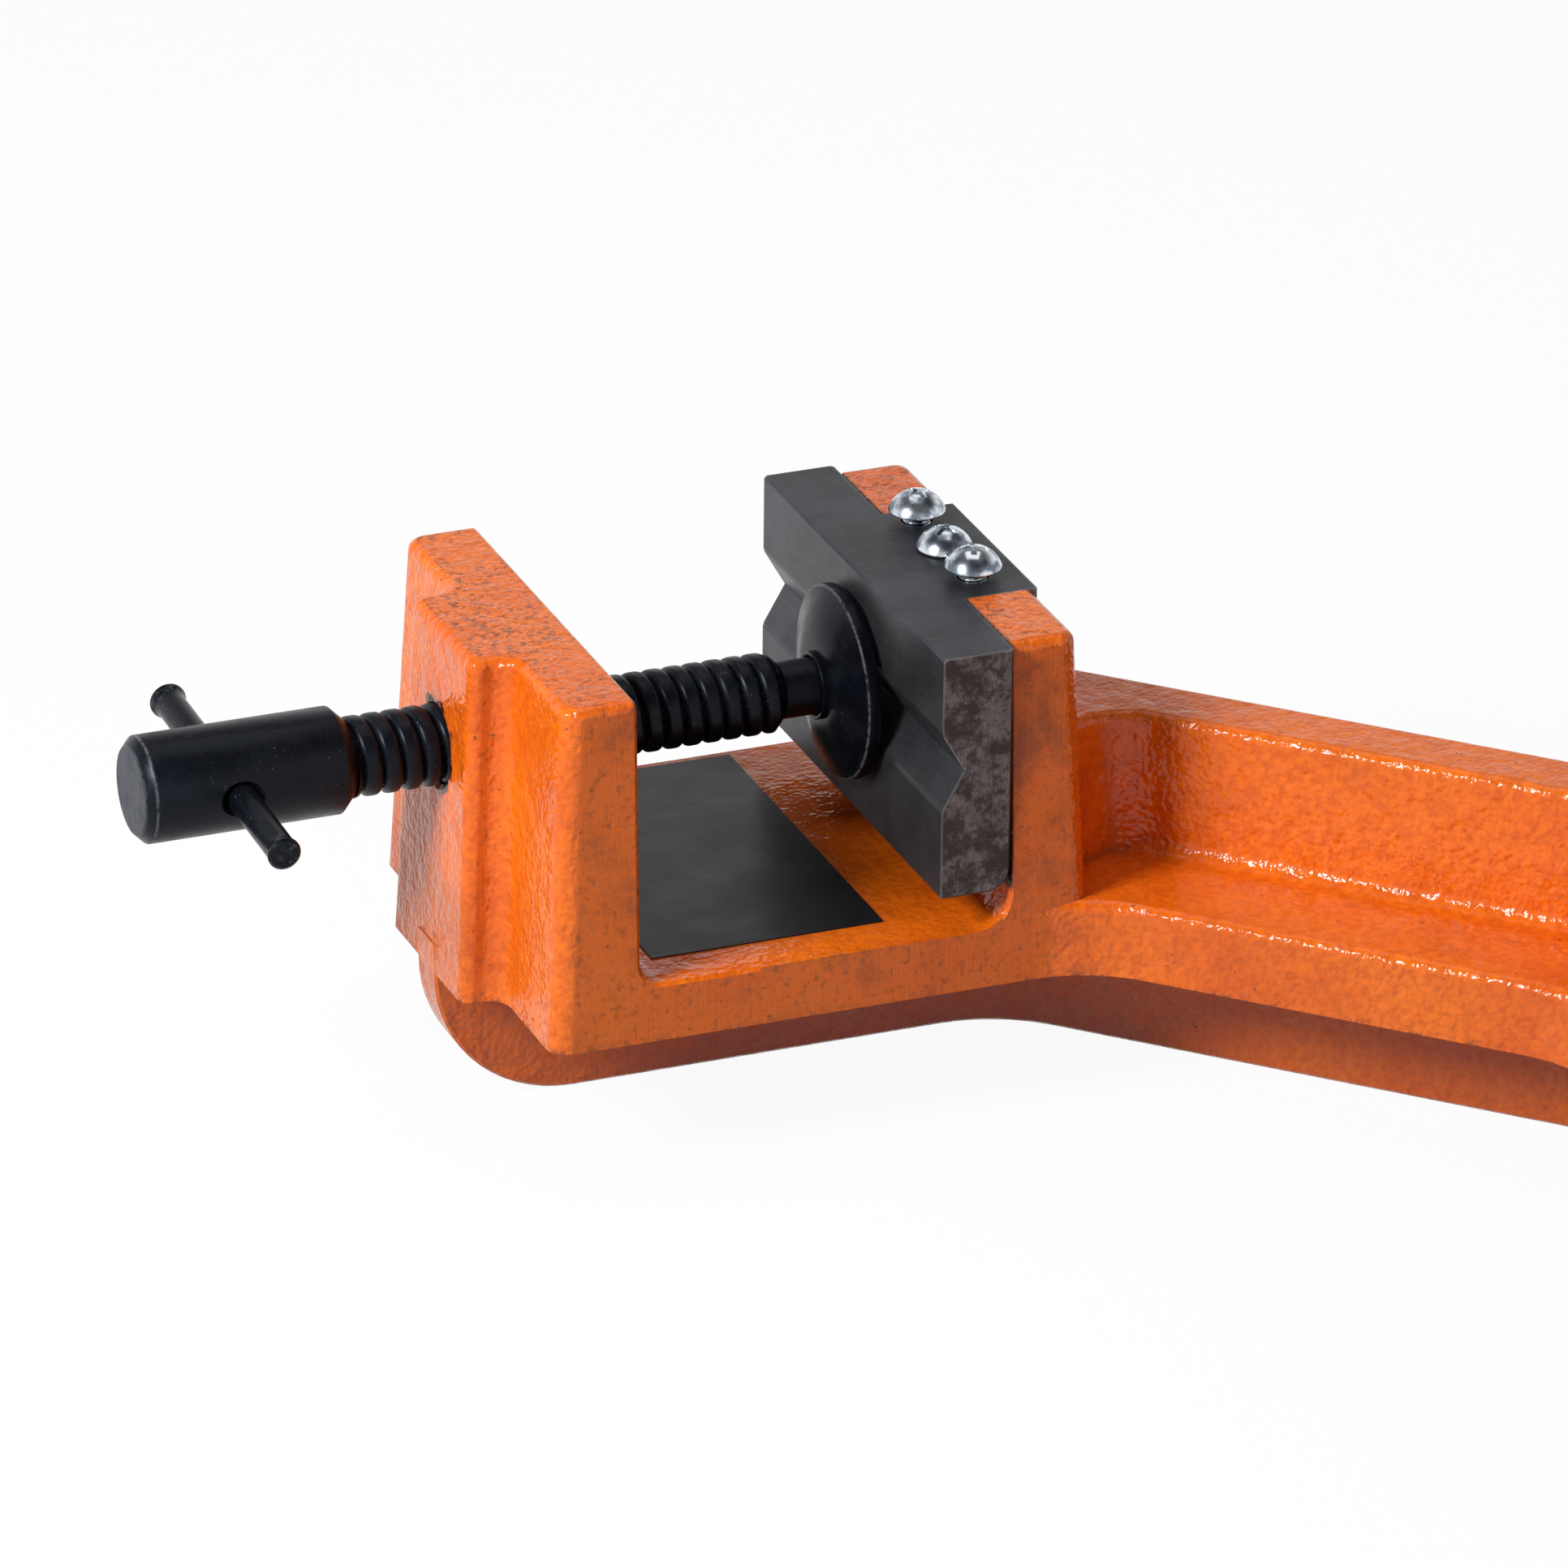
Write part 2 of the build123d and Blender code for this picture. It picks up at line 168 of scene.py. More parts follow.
def signed_volume(vertices, triangles):
    """Volume inside closed triangles, below zero where they face inwards."""
    a, b, c = (vertices[triangles[:, k]] for k in range(3))
    return float(np.einsum("ij,ij->i", a, np.cross(b, c)).sum() / 6)


def shell(rings):
    """Vertices and triangles of a closed surface through a stack of closed rings.

    rings is rows x columns x 3: each row goes once round, and the first and last rows are closed
    by fans to their middles. The triangles are turned over if they enclose a negative volume.
    """
    rows, columns, _ = rings.shape
    index = np.arange(rows * columns).reshape(rows, columns)
    ahead = np.roll(index, -1, axis=1)
    a, b = index[:-1].ravel(), ahead[:-1].ravel()
    c, d = ahead[1:].ravel(), index[1:].ravel()
    first, last = rows * columns, rows * columns + 1
    triangles = np.concatenate([
        np.stack([a, b, c], 1),
        np.stack([a, c, d], 1),
        np.stack([np.full(columns, first), ahead[0], index[0]], 1),
        np.stack([np.full(columns, last), index[-1], ahead[-1]], 1),
    ])
    poles = np.stack([rings[0].mean(0), rings[-1].mean(0)])
    vertices = np.concatenate([rings.reshape(-1, 3), poles])
    if signed_volume(vertices, triangles) < 0:
        triangles = triangles[:, ::-1]
    return vertices, triangles


def joined(parts):
    """One set of vertices and triangles from several."""
    vertices = np.concatenate([v for v, _ in parts])
    starts = np.cumsum([0] + [len(v) for v, _ in parts[:-1]])
    triangles = np.concatenate([t + start for (_, t), start in zip(parts, starts)])
    return vertices, triangles


def turned(profile, segments):
    """Rings of a turned form: each (x, r) of the profile sweeps the circle (x, r cos t, r sin t)."""
    profile = np.array(profile, float)
    angle = np.linspace(0, 2 * np.pi, segments, endpoint=False)
    x = np.repeat(profile[:, :1], segments, axis=1)
    r = profile[:, 1:]
    return np.stack([x, r * np.cos(angle), r * np.sin(angle)], axis=2)


def arc(centre, radius, start, end, steps):
    """Points (x, r) on a circle in a turned form's profile, from one angle to another in degrees."""
    angle = np.radians(np.linspace(start, end, steps))
    x = centre[0] + radius * np.cos(angle)
    r = centre[1] + radius * np.sin(angle)
    return np.stack([x, r], 1)


def smoothstep(value, low, high):
    """Rises from 0 at low to 1 at high along 3t^2 - 2t^3."""
    t = np.clip((value - low) / (high - low), 0, 1)
    return t * t * (3 - 2 * t)


def add_piece(name, surface, head, node, material):
    """Puts a closed surface of a head's frame into the scene in a node's place, on that node's body."""
    vertices, triangles = surface
    placed = to_frame(vertices, head)
    if signed_volume(placed, triangles) < 0:
        triangles = triangles[:, ::-1]
    mesh = new_mesh(name, placed, triangles)
    piece = bpy.data.objects.new(name, mesh)
    bpy.context.scene.collection.objects.link(piece)
    finish_piece(piece, head, node, material)


def finish_piece(piece, head, node, material):
    """Smooth faces, sharp edges past an angle, the head's coordinates, the material and the ride."""
    mesh = piece.data
    mesh.polygons.foreach_set("use_smooth", np.ones(len(mesh.polygons), bool))
    mesh.set_sharp_from_angle(angle=SHARP_ANGLE)
    mark_head_coordinates(mesh, head)
    mesh.materials.append(material)
    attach(piece, NODES[node]["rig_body"])
    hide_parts(node)


def mark_head_coordinates(mesh, head):
    """Stores each vertex's place in the head's own frame as the attribute that materials read."""
    placed = np.empty(len(mesh.vertices) * 3, np.float32)
    mesh.vertices.foreach_get("co", placed)
    local = to_head(placed.reshape(-1, 3).astype(float), head)
    attribute = mesh.attributes.new("head_place", "FLOAT_VECTOR", "POINT")
    attribute.data.foreach_set("vector", local.astype(np.float32).ravel())


# Materials

# Spans in metres over which a finish fades in or out: heights first, then places in the model's
# frame along and across a head's screw, distances from the bore, the seam and the jaw, and last
# the distance from a knocked end and how wide a rubbed edge is
KEEL_TOP = (0.0300, 0.0308)
# Heights across which the keel below the flange takes its painted shade
KEEL_SHADE = (0.0295, 0.0310)
WALL_TOP = (0.098, 0.102)
HEAD_END = (0.045, 0.060)
HEAD_SIDE = (0.035, 0.045)
SMEAR_RADIUS = (0.0072, 0.0092)
SEAM_HALF_WIDTH = (0.0004, 0.0011)
OUTER_HALF_OF_WALL = (-0.078, -0.074)
KNOCKED_REACH = (0.0040, 0.0050)
WORN_EDGE = 0.00055


class Shading:
    """A node tree, with short ways to add and join its nodes."""

    def __init__(self, tree):
        self.tree = tree

    def feed(self, socket, value):
        """Gives an input an output to read, or a number, a vector or a colour."""
        if isinstance(value, bpy.types.NodeSocket):
            self.tree.links.new(value, socket)
        elif socket.type == "RGBA":
            socket.default_value = (*value, 1.0)
        else:
            socket.default_value = value

    def node(self, kind, **values):
        """A node of a kind, with its properties and, by their names, its inputs set."""
        made = self.tree.nodes.new(kind)
        for key, value in values.items():
            if hasattr(made, key):
                setattr(made, key, value)
            else:
                self.feed(made.inputs[key.replace("_", " ")], value)
        return made

    def reckon(self, operation, first, *others):
        """Arithmetic from left to right on values, each an output or a number."""
        for other in others:
            made = self.node("ShaderNodeMath", operation=operation)
            self.feed(made.inputs[0], first)
            self.feed(made.inputs[1], other)
            first = made.outputs["Value"]
        return first

    def times(self, *values):
        """The product of values."""
        return self.reckon("MULTIPLY", *values)

    def plus(self, *values):
        """The sum of values."""
        return self.reckon("ADD", *values)

    def less(self, first, second):
        """A value less another."""
        return self.reckon("SUBTRACT", first, second)

    def most(self, *values):
        """The largest of values."""
        return self.reckon("MAXIMUM", *values)

    def rest(self, share):
        """What a share leaves of 1."""
        return self.less(1.0, share)

    def size(self, value):
        """A value without its sign."""
        return self.reckon("ABSOLUTE", value, 0.0)

    def ramp(self, value, low, high, start=0.0, end=1.0):
        """A value carried smoothly from the span low to high onto the span start to end."""
        made = self.node("ShaderNodeMapRange", interpolation_type="SMOOTHSTEP", Value=value,
                         From_Min=low, From_Max=high, To_Min=start, To_Max=end)
        return made.outputs["Result"]

    def between(self, share, first, second):
        """A value between two."""
        made = self.node("ShaderNodeMix", data_type="FLOAT", Factor=share, A=first, B=second)
        return made.outputs["Result"]

    def blend(self, share, first, second):
        """A colour between two."""
        made = self.node("ShaderNodeMix", data_type="RGBA", Factor=share)
        self.feed(made.inputs[6], first)
        self.feed(made.inputs[7], second)
        return made.outputs[2]

    def split(self, vector):
        """The three parts of a vector."""
        made = self.node("ShaderNodeSeparateXYZ", Vector=vector)
        return made.outputs["X"], made.outputs["Y"], made.outputs["Z"]


class Finish(Shading):
    """A new material, with its shader and the patterns that the vise's finishes are made of."""

    def __init__(self, name):
        self.material = bpy.data.materials.new(name)
        self.material.use_nodes = True
        super().__init__(self.material.node_tree)
        self.shader = self.tree.nodes["Principled BSDF"]

    def surface(self, **inputs):
        """Gives the shader's inputs, by their names, what they read, and returns the material."""
        for name, value in inputs.items():
            self.feed(self.shader.inputs[name.replace("_", " ")], value)
        return self.material

    def place(self):
        """Object coordinates, in metres."""
        return self.node("ShaderNodeTexCoord").outputs["Object"]

    def head_place(self):
        """The head's own coordinates, stored on a new piece."""
        return self.node("ShaderNodeAttribute", attribute_name="head_place").outputs["Vector"]

    def normal(self):
        """Which way a face looks, in the model's frame."""
        return self.node("ShaderNodeNewGeometry").outputs["Normal"]

    def noise(self, vector, cells, detail=2.0, roughness=0.5):
        """Soft noise of a given number of cells per metre, 0 to 1."""
        made = self.node("ShaderNodeTexNoise", Vector=vector, Scale=cells, Detail=detail,
                         Roughness=roughness)
        return made.outputs["Fac"]

    def lines(self, vector, cells, detail=2.0, roughness=0.5):
        """Soft noise drawn out into lines: cells is the number of cells per metre along each axis."""
        stretched = self.node("ShaderNodeMapping", Vector=vector, Scale=cells).outputs["Vector"]
        return self.noise(stretched, 1.0, detail, roughness)

    def patches(self, vector, cells, low, high, start=0.0, end=1.0, detail=2.0, roughness=0.5):
        """Patches of noise: its span low to high is carried onto the span start to end."""
        return self.ramp(self.noise(vector, cells, detail, roughness), low, high, start, end)

    def bump(self, height, depth, under=None):
        """Shading relief from a height of 0 to 1 that stands for a depth in metres."""
        made = self.node("ShaderNodeBump", Strength=1.0, Distance=depth, Height=height)
        if under is not None:
            self.feed(made.inputs["Normal"], under)
        return made.outputs["Normal"]

    def corners(self, reach, inside):
        """How hemmed in a point is within a reach: by outer edges if inside, else by inner corners."""
        made = self.node("ShaderNodeAmbientOcclusion", samples=6, inside=inside, only_local=True,
                         Distance=reach)
        return self.rest(made.outputs["AO"])

    def from_line(self, vector, origin, across):
        """Distance from a line through an origin, over the axes that across marks with 1."""
        moved = self.node("ShaderNodeVectorMath", operation="MULTIPLY_ADD")
        back = [-o * a for o, a in zip(origin, across)]
        for socket, value in zip(moved.inputs, (vector, across, back)):
            self.feed(socket, value)
        measured = self.node("ShaderNodeVectorMath", operation="LENGTH")
        self.feed(measured.inputs[0], moved.outputs["Vector"])
        return measured.outputs["Value"]

    def near_circle(self, vector, x, radius, width):
        """1 on a circle round the head's screw axis, falling to 0 a width away."""
        off_x = self.less(self.split(vector)[0], x)
        off_r = self.less(self.from_line(vector, (0, 0, 0), (0, 1, 1)), radius)
        squares = self.plus(self.times(off_x, off_x), self.times(off_r, off_r))
        return self.ramp(self.reckon("SQRT", squares, 0.0), 0.0, width, 1.0, 0.0)


def machined_faces(f, place):
    """1 on the machined sides of both heads, 0 on the rough casting and the keel."""
    x, y, height = f.split(place)
    facing_x, facing_y, _ = f.split(f.normal())
    masks = []
    for facing, along, side in ((facing_y, x, y), (facing_x, y, x)):
        flat = f.ramp(f.size(facing), 0.985, 0.997)
        on_head = f.times(f.ramp(along, *HEAD_END, 1.0, 0.0), f.ramp(side, *HEAD_SIDE))
        masks.append(f.times(flat, on_head))
    return f.times(f.most(*masks), f.ramp(height, *KEEL_TOP))


def bore_smears(f, place):
    """1 where greasy black is smeared round each bore on the outer wall's outer face."""
    axes = f.split(place)
    ragged = f.patches(place, 230.0, 0.3, 0.7, 0.0, 3.0 * MM, detail=4.0, roughness=0.65)
    smears = []
    for head in HEADS:
        along, _ = head_axes(head)
        origin = head_origin(head)
        across = [1.0, 1.0, 1.0]
        across[along] = 0.0
        away = f.less(f.from_line(place, origin, across), ragged)
        outer = f.ramp(axes[along], *(origin[along] + x for x in OUTER_HALF_OF_WALL), 1.0, 0.0)
        smears.append(f.times(f.ramp(away, *SMEAR_RADIUS, 1.0, 0.0), outer))
    return f.most(*smears)


def jaw_seam_shades(f, place, jaw_back):
    """1 along a line of painted shade where each jaw plate's back meets its wall, standing for the shade
    in the gap between them.
    """
    axes = f.split(place)
    seam_shades = []
    for head in HEADS:
        along, _ = head_axes(head)
        low, _ = node_box(f"jaw_plate_{head}")
        off = f.size(f.less(axes[along], low[along] + jaw_back))
        above = f.ramp(axes[2], low[2] - MM, low[2] + MM)
        seam_shades.append(f.times(f.ramp(off, *SEAM_HALF_WIDTH, 1.0, 0.0), above))
    return f.most(*seam_shades)


def enamel(settings):
    """Gloss orange enamel, sprayed thick over a rough sand-cast skin, with shop dirt on it and painted
    shade in its inner corners, on the keel below the flange and along the jaws' back edges.
    """
    f = Finish("orange_enamel")
    place = f.place()
    _, _, height = f.split(place)
    _, _, facing_up = f.split(f.normal())
    milled = machined_faces(f, place)
    rough_cast = f.rest(f.times(milled, 0.85))
    tone = f.patches(place, 26.0, 0.35, 0.70, detail=4.0, roughness=0.6)
    paint = f.blend(tone, settings.paint, settings.paint_thin)
    pebbles = f.patches(place, settings.skin_cells * 0.6, 0.40, 0.66, 0.0, 0.5)
    paint = f.blend(f.times(pebbles, rough_cast), paint, settings.paint_hollow)
    paint = f.blend(f.times(milled, 0.55), paint, settings.paint_milled)

    # Dirt on chipped edges and level wall tops, over the milled sides and as specks, with painted shade
    # in the inner corners and on the keel below the flange
    # Painted shade: darker in inner corners, where the surface is hemmed in within 7 mm
    corners = f.ramp(f.corners(7.0 * MM, False), 0.22, 0.75, 0.0, 0.62)
    chips = f.patches(place, 330.0, 0.50, 0.64, detail=6.0, roughness=0.72)
    edges = f.times(f.ramp(f.corners(3.0 * MM, True), 0.20, 0.55), chips)
    tops = f.times(f.ramp(facing_up, 0.95, 0.99), f.ramp(height, *WALL_TOP))
    tops = f.times(tops, f.patches(place, 60.0, 0.36, 0.56, 0.35, 1.0, detail=3.0))
    speckle = f.patches(place, 760.0, 0.48, 0.64, detail=5.0, roughness=0.72)
    smudge = f.patches(place, 52.0, 0.50, 0.70, detail=7.0, roughness=0.72)
    smudge = f.times(smudge, f.plus(f.times(milled, 0.46), 0.12))
    grain = f.patches(place, 520.0, 0.50, 0.68, detail=6.0, roughness=0.75)
    grain = f.times(grain, f.plus(f.times(milled, 0.55), 0.05))
    specks = f.patches(place, 420.0, 0.70, 0.76, 0.0, 0.8, detail=3.0, roughness=0.6)
    # Painted shade: the keel below the flange is darker
    keel_shade = f.ramp(height, *KEEL_SHADE, 0.20, 0.0)
    dusty = f.times(tops, speckle, 0.85)
    # The dirt mask also holds the painted shade of the inner corners and the keel
    dirt_and_shade = f.most(corners, f.times(edges, 0.85), dusty, smudge, grain, specks, keel_shade)
    # Grease round the bores, and painted shade along the joints behind the jaws
    grease_and_seam_shade = f.most(bore_smears(f, place), jaw_seam_shades(f, place, settings.jaw_back))
    colour = f.blend(grease_and_seam_shade, f.blend(dirt_and_shade, paint, settings.dirt_and_shade), settings.grease_and_shade)

    worn = f.most(f.times(dirt_and_shade, 0.8), f.times(milled, 0.75))
    clean = f.patches(place, 150.0, 0.35, 0.75, settings.gloss, settings.gloss + 0.10, detail=3.0)
    rough_cast = f.times(rough_cast, f.ramp(facing_up, 0.80, 0.99, 1.0, 0.45))
    lumps = f.times(f.noise(place, 210.0), rough_cast)
    skin = f.times(f.noise(place, settings.skin_cells, detail=1.0, roughness=0.35), rough_cast)
    milling = f.times(f.lines(place, (1900.0, 1900.0, 40.0)), milled)
    relief = f.bump(lumps, settings.lump_depth)
    relief = f.bump(skin, settings.skin_depth, relief)
    relief = f.bump(milling, settings.line_depth, relief)
    relief = f.bump(f.rest(f.most(specks, edges)), 0.12 * MM, relief)
    return f.surface(Base_Color=colour, Roughness=f.plus(clean, f.times(worn, 0.26)), Normal=relief,
                     Specular_IOR_Level=0.36)


def ground_steel(settings, head):
    """Dark ground steel: fine grinding lines, bright edges that are partly rubbed steel and partly a
    painted highlight, and mottled brown on the sawn ends.
    """
    f = Finish(f"ground_steel_{head}")
    along, side = head_axes(head)
    place = f.place()
    facing = f.split(f.normal())
    end_face = f.ramp(f.size(facing[side]), 0.85, 0.95)
    top_face = f.ramp(facing[2], 0.85, 0.95)
    face_cells = [240.0, 240.0, 2900.0]
    face_cells[side] = 150.0
    top_cells = [240.0, 240.0, 240.0]
    top_cells[side] = 2700.0
    top_cells[along] = 170.0
    face_lines = f.lines(place, face_cells, detail=3.0, roughness=0.6)
    top_lines = f.lines(place, top_cells, detail=3.0, roughness=0.6)
    grinding = f.between(top_face, face_lines, top_lines)
    cloud = f.patches(place, 60.0, 0.32, 0.70, detail=5.0, roughness=0.65)
    colour = f.blend(cloud, settings.jaw_dark, settings.jaw_light)
    colour = f.blend(f.ramp(grinding, 0.50, 0.72, 0.0, 0.45), colour, settings.jaw_line)
    pits = f.patches(place, 820.0, 0.72, 0.78)
    colour = f.blend(f.times(pits, 0.8), colour, settings.rust_dark)

    scale = f.patches(place, 210.0, 0.42, 0.58, detail=9.0, roughness=0.78)
    scratches = f.ramp(f.lines(place, (2400.0, 2400.0, 330.0), detail=5.0, roughness=0.7), 0.50, 0.66)
    mottled = f.blend(scale, settings.rust_dark, settings.rust_light)
    mottled = f.blend(f.times(scratches, scale, 0.55), mottled, settings.scratch)
    colour = f.blend(end_face, colour, mottled)
    # Bright along the convex edges: rubbed steel, with a painted highlight in it
    rubbed = f.ramp(f.corners(0.9 * MM, True), 0.25, 0.60, 0.0, 0.75)
    colour = f.blend(rubbed, colour, settings.bright_edge_and_highlight)
    relief = f.bump(grinding, 0.05 * MM)
    relief = f.bump(f.times(f.plus(scale, scratches), end_face), 0.03 * MM, relief)
    relief = f.bump(f.rest(pits), 0.06 * MM, relief)
    rough = f.ramp(end_face, 0.0, 1.0, settings.jaw_roughness, 0.62)
    return f.surface(Base_Color=colour, Metallic=0.7, Roughness=rough, Normal=relief,
                     Specular_IOR_Level=0.3)


def bright_zinc(settings):
    """Bright bluish zinc plate with faint clouding."""
    f = Finish("bright_zinc")
    place = f.head_place()
    cloud = f.patches(place, 300.0, 0.40, 0.62, detail=3.0)
    relief = f.bump(f.noise(place, 350.0, detail=1.0), 0.04 * MM)
    relief = f.bump(f.noise(place, 1700.0), 0.006 * MM, relief)
    return f.surface(Base_Color=f.blend(cloud, settings.zinc, settings.zinc_cloud), Metallic=1.0,
                     Roughness=f.ramp(cloud, 0.0, 1.0, 0.17, 0.27), Normal=relief)


def black_oxide(name, settings, roughness, wear_and_highlight_circles=(), sawn_end=None, worn_ends=(), shine=0.17):
    """Oiled black oxide on steel: clouded, with bright specks, turning marks, rubbed edges and, on the
    pad, a painted highlight ring.

    wear_and_highlight_circles are the edges (x, radius) round the screw's axis that are painted bright:
    rubbed steel at the handle's end and the thread's last crest, and a painted highlight along the pad
    rim's back edge. sawn_end is the x up to which an end face is left paler with fine upright lines, and
    worn_ends are points near which the steel is knocked bare in places. shine is the specular level.
    """
    f = Finish(name)
    place = f.head_place()
    cloud = f.patches(place, 160.0, 0.35, 0.72, detail=5.0, roughness=0.65)
    colour = f.blend(cloud, settings.oxide, settings.oxide_worn)
    specks = f.patches(place, 1500.0, 0.65, 0.73, detail=3.0, roughness=0.6)
    rubbed = f.times(specks, f.patches(place, 90.0, 0.46, 0.64, 0.15, 1.0, detail=3.0))
    ragged = f.patches(place, 600.0, 0.36, 0.56, 0.15, 1.0, detail=4.0, roughness=0.7)
    # Each circle is painted bright: rubbed steel on the spindle, a painted highlight on the pad's rim
    for x, radius in wear_and_highlight_circles:
        rubbed = f.most(rubbed, f.times(f.near_circle(place, x, radius, WORN_EDGE), ragged, 0.8))
    knocked = f.patches(place, 750.0, 0.52, 0.66, 0.0, 0.5, detail=5.0, roughness=0.7)
    for point in worn_ends:
        close = f.ramp(f.from_line(place, point, (1, 1, 1)), *KNOCKED_REACH, 1.0, 0.0)
        rubbed = f.most(rubbed, f.times(close, knocked))
    colour = f.blend(f.times(rubbed, 0.75), colour, settings.rubbed)
    relief = f.bump(f.lines(place, (2600.0, 60.0, 60.0)), 0.012 * MM)
    if sawn_end is not None:
        ahead, _, _ = f.split(place)
        end_face = f.ramp(ahead, sawn_end, sawn_end + 0.2 * MM, 1.0, 0.0)
        sawing = f.lines(place, (10.0, 2300.0, 90.0), detail=3.0)
        sawn = f.blend(f.ramp(sawing, 0.35, 0.7), settings.sawn_dark, settings.sawn_light)
        colour = f.blend(end_face, colour, sawn)
        relief = f.bump(f.times(sawing, end_face), 0.03 * MM, relief)
    relief = f.bump(f.noise(place, 620.0, detail=4.0, roughness=0.6), 0.03 * MM, relief)
    rough = f.ramp(cloud, 0.0, 1.0, roughness, roughness + 0.12)
    return f.surface(Base_Color=colour, Metallic=0.0, Roughness=rough, Normal=relief,
                     Specular_IOR_Level=shine, Specular_Tint=(0.78, 0.86, 1.0))


def satin_label(settings):
    """Blank satin film, a little uneven where it is stuck down, with rubbed patches."""
    f = Finish("label_film")
    place = f.place()
    rubbed = f.patches(place, 300.0, 0.56, 0.72, 0.0, 0.5, detail=6.0, roughness=0.7)
    return f.surface(Base_Color=f.blend(rubbed, settings.film, settings.film_worn),
                     Roughness=f.patches(place, 60.0, 0.3, 0.7, 0.26, 0.38),
                     Normal=f.bump(f.noise(place, 120.0), 0.1 * MM), Specular_IOR_Level=0.25)


def plain_steel(settings):
    """Plain turned steel of the retaining rings, faintly clouded."""
    f = Finish("ring_steel")
    cloud = f.patches(f.place(), 400.0, 0.3, 0.7, detail=3.0)
    colour = f.blend(cloud, settings.ring_light, settings.ring_dark)
    return f.surface(Base_Color=colour, Metallic=1.0, Roughness=0.4)


# Settings that a user would change


def a_length(name, description, default):
    """A length property, its default given in millimetres."""
    return bpy.props.FloatProperty(
        name=name, description=description, default=default * MM, min=0.0, precision=5,
        subtype="DISTANCE", unit="LENGTH",
    )


def a_colour(name, description, default):
    """A colour property."""
    return bpy.props.FloatVectorProperty(
        name=name, description=description, default=default, min=0.0, max=1.0, size=3, subtype="COLOR",
    )


def a_share(name, description, default):
    """A property from 0 to 1."""
    return bpy.props.FloatProperty(
        name=name, description=description, default=default, min=0.0, max=1.0, subtype="FACTOR",
    )


def an_angle(name, description, degrees):
    """An angle property, its default given in degrees."""
    return bpy.props.FloatProperty(
        name=name, description=description, default=math.radians(degrees),
        subtype="ANGLE", unit="ROTATION",
    )


def a_power(name, description, watts):
    """A lamp's power."""
    return bpy.props.FloatProperty(
        name=name, description=description, default=watts, min=0.0, unit="POWER",
    )


class CastingSettings(bpy.types.PropertyGroup):
    """The painted casting."""

    paint: a_colour("Paint", "Orange enamel where it lies thick", (0.86, 0.170, 0.006))
    paint_thin: a_colour("Thin paint", "Enamel where it lies thin", (0.74, 0.120, 0.005))
    paint_hollow: a_colour("Paint in hollows", "Enamel between the skin's pebbles", (0.60, 0.085, 0.004))
    paint_milled: a_colour("Milled sides", "Enamel over the machined sides", (0.62, 0.118, 0.012))
    # Also the colour of the painted shade in inner corners and on the keel
    dirt_and_shade: a_colour("Dirt", "Shop dirt and chipped edges", (0.105, 0.034, 0.010))
    # Also the colour of the painted shade along the joints behind the jaws
    grease_and_shade: a_colour("Grease", "Greasy black round the bores", (0.010, 0.009, 0.009))
    gloss: a_share("Gloss", "Roughness of the cleanest enamel", 0.085)
    skin_cells: bpy.props.FloatProperty(
        name="Skin cells", description="Grains of the cast skin in a metre", default=850.0, min=1.0)
    skin_depth: a_length("Skin depth", "Depth of the cast skin's grain", 0.33)
    lump_depth: a_length("Lump depth", "Depth of the paint's long waves", 0.85)
    line_depth: a_length("Line depth", "Depth of the milling lines", 0.06)
    jaw_back: a_length("Jaw back", "Distance from a jaw's face to its back", 15.5)


class SteelSettings(bpy.types.PropertyGroup):
    """The bare and blackened steel."""

    jaw_dark: a_colour("Jaw, dark", "Ground jaw steel where it is dark", (0.040, 0.041, 0.048))
    jaw_light: a_colour("Jaw, light", "Ground jaw steel where it is light", (0.066, 0.067, 0.077))
    jaw_line: a_colour("Jaw lines", "Grinding lines", (0.100, 0.102, 0.115))
    rust_dark: a_colour("Rust, dark", "Dark mottling on the jaw's ends", (0.044, 0.035, 0.034))
    rust_light: a_colour("Rust, light", "Light mottling on the jaw's ends", (0.140, 0.120, 0.122))
    scratch: a_colour("Scratches", "Bare scratches on the jaw's ends", (0.260, 0.240, 0.245))
    # Also the colour of the painted highlight along the jaw's edges
    bright_edge_and_highlight: a_colour("Bright edges", "Steel where the jaw's edges are rubbed", (0.300, 0.300, 0.310))
    jaw_roughness: a_share("Jaw roughness", "Roughness of the ground faces", 0.42)
    oxide: a_colour("Black oxide", "Oiled black oxide", (0.0024, 0.0030, 0.0052))
    oxide_worn: a_colour("Thin oxide", "Black oxide where it is thin", (0.0050, 0.0060, 0.0095))
    # Also the colour of the painted highlight ring on the pad's rim
    rubbed: a_colour("Rubbed oxide", "Specks and edges where the oxide is gone", (0.150, 0.155, 0.170))
    sawn_dark: a_colour("Sawn end, dark", "Dark lines of the handle's end face", (0.008, 0.010, 0.017))
    sawn_light: a_colour("Sawn end, light", "Light lines of the handle's end face", (0.024, 0.029, 0.045))
    zinc: a_colour("Zinc", "Bright zinc plate", (0.70, 0.75, 0.80))
    zinc_cloud: a_colour("Zinc, clouded", "Zinc plate where it is dull", (0.16, 0.19, 0.23))
    ring_light: a_colour("Ring, light", "Plain steel of the retaining rings", (0.30, 0.30, 0.31))
    ring_dark: a_colour("Ring, dark", "Plain steel where it is clouded", (0.22, 0.22, 0.23))
    film: a_colour("Label film", "Blank label film", (0.010, 0.010, 0.012))
    film_worn: a_colour("Worn film", "Label film where it is rubbed", (0.028, 0.027, 0.029))


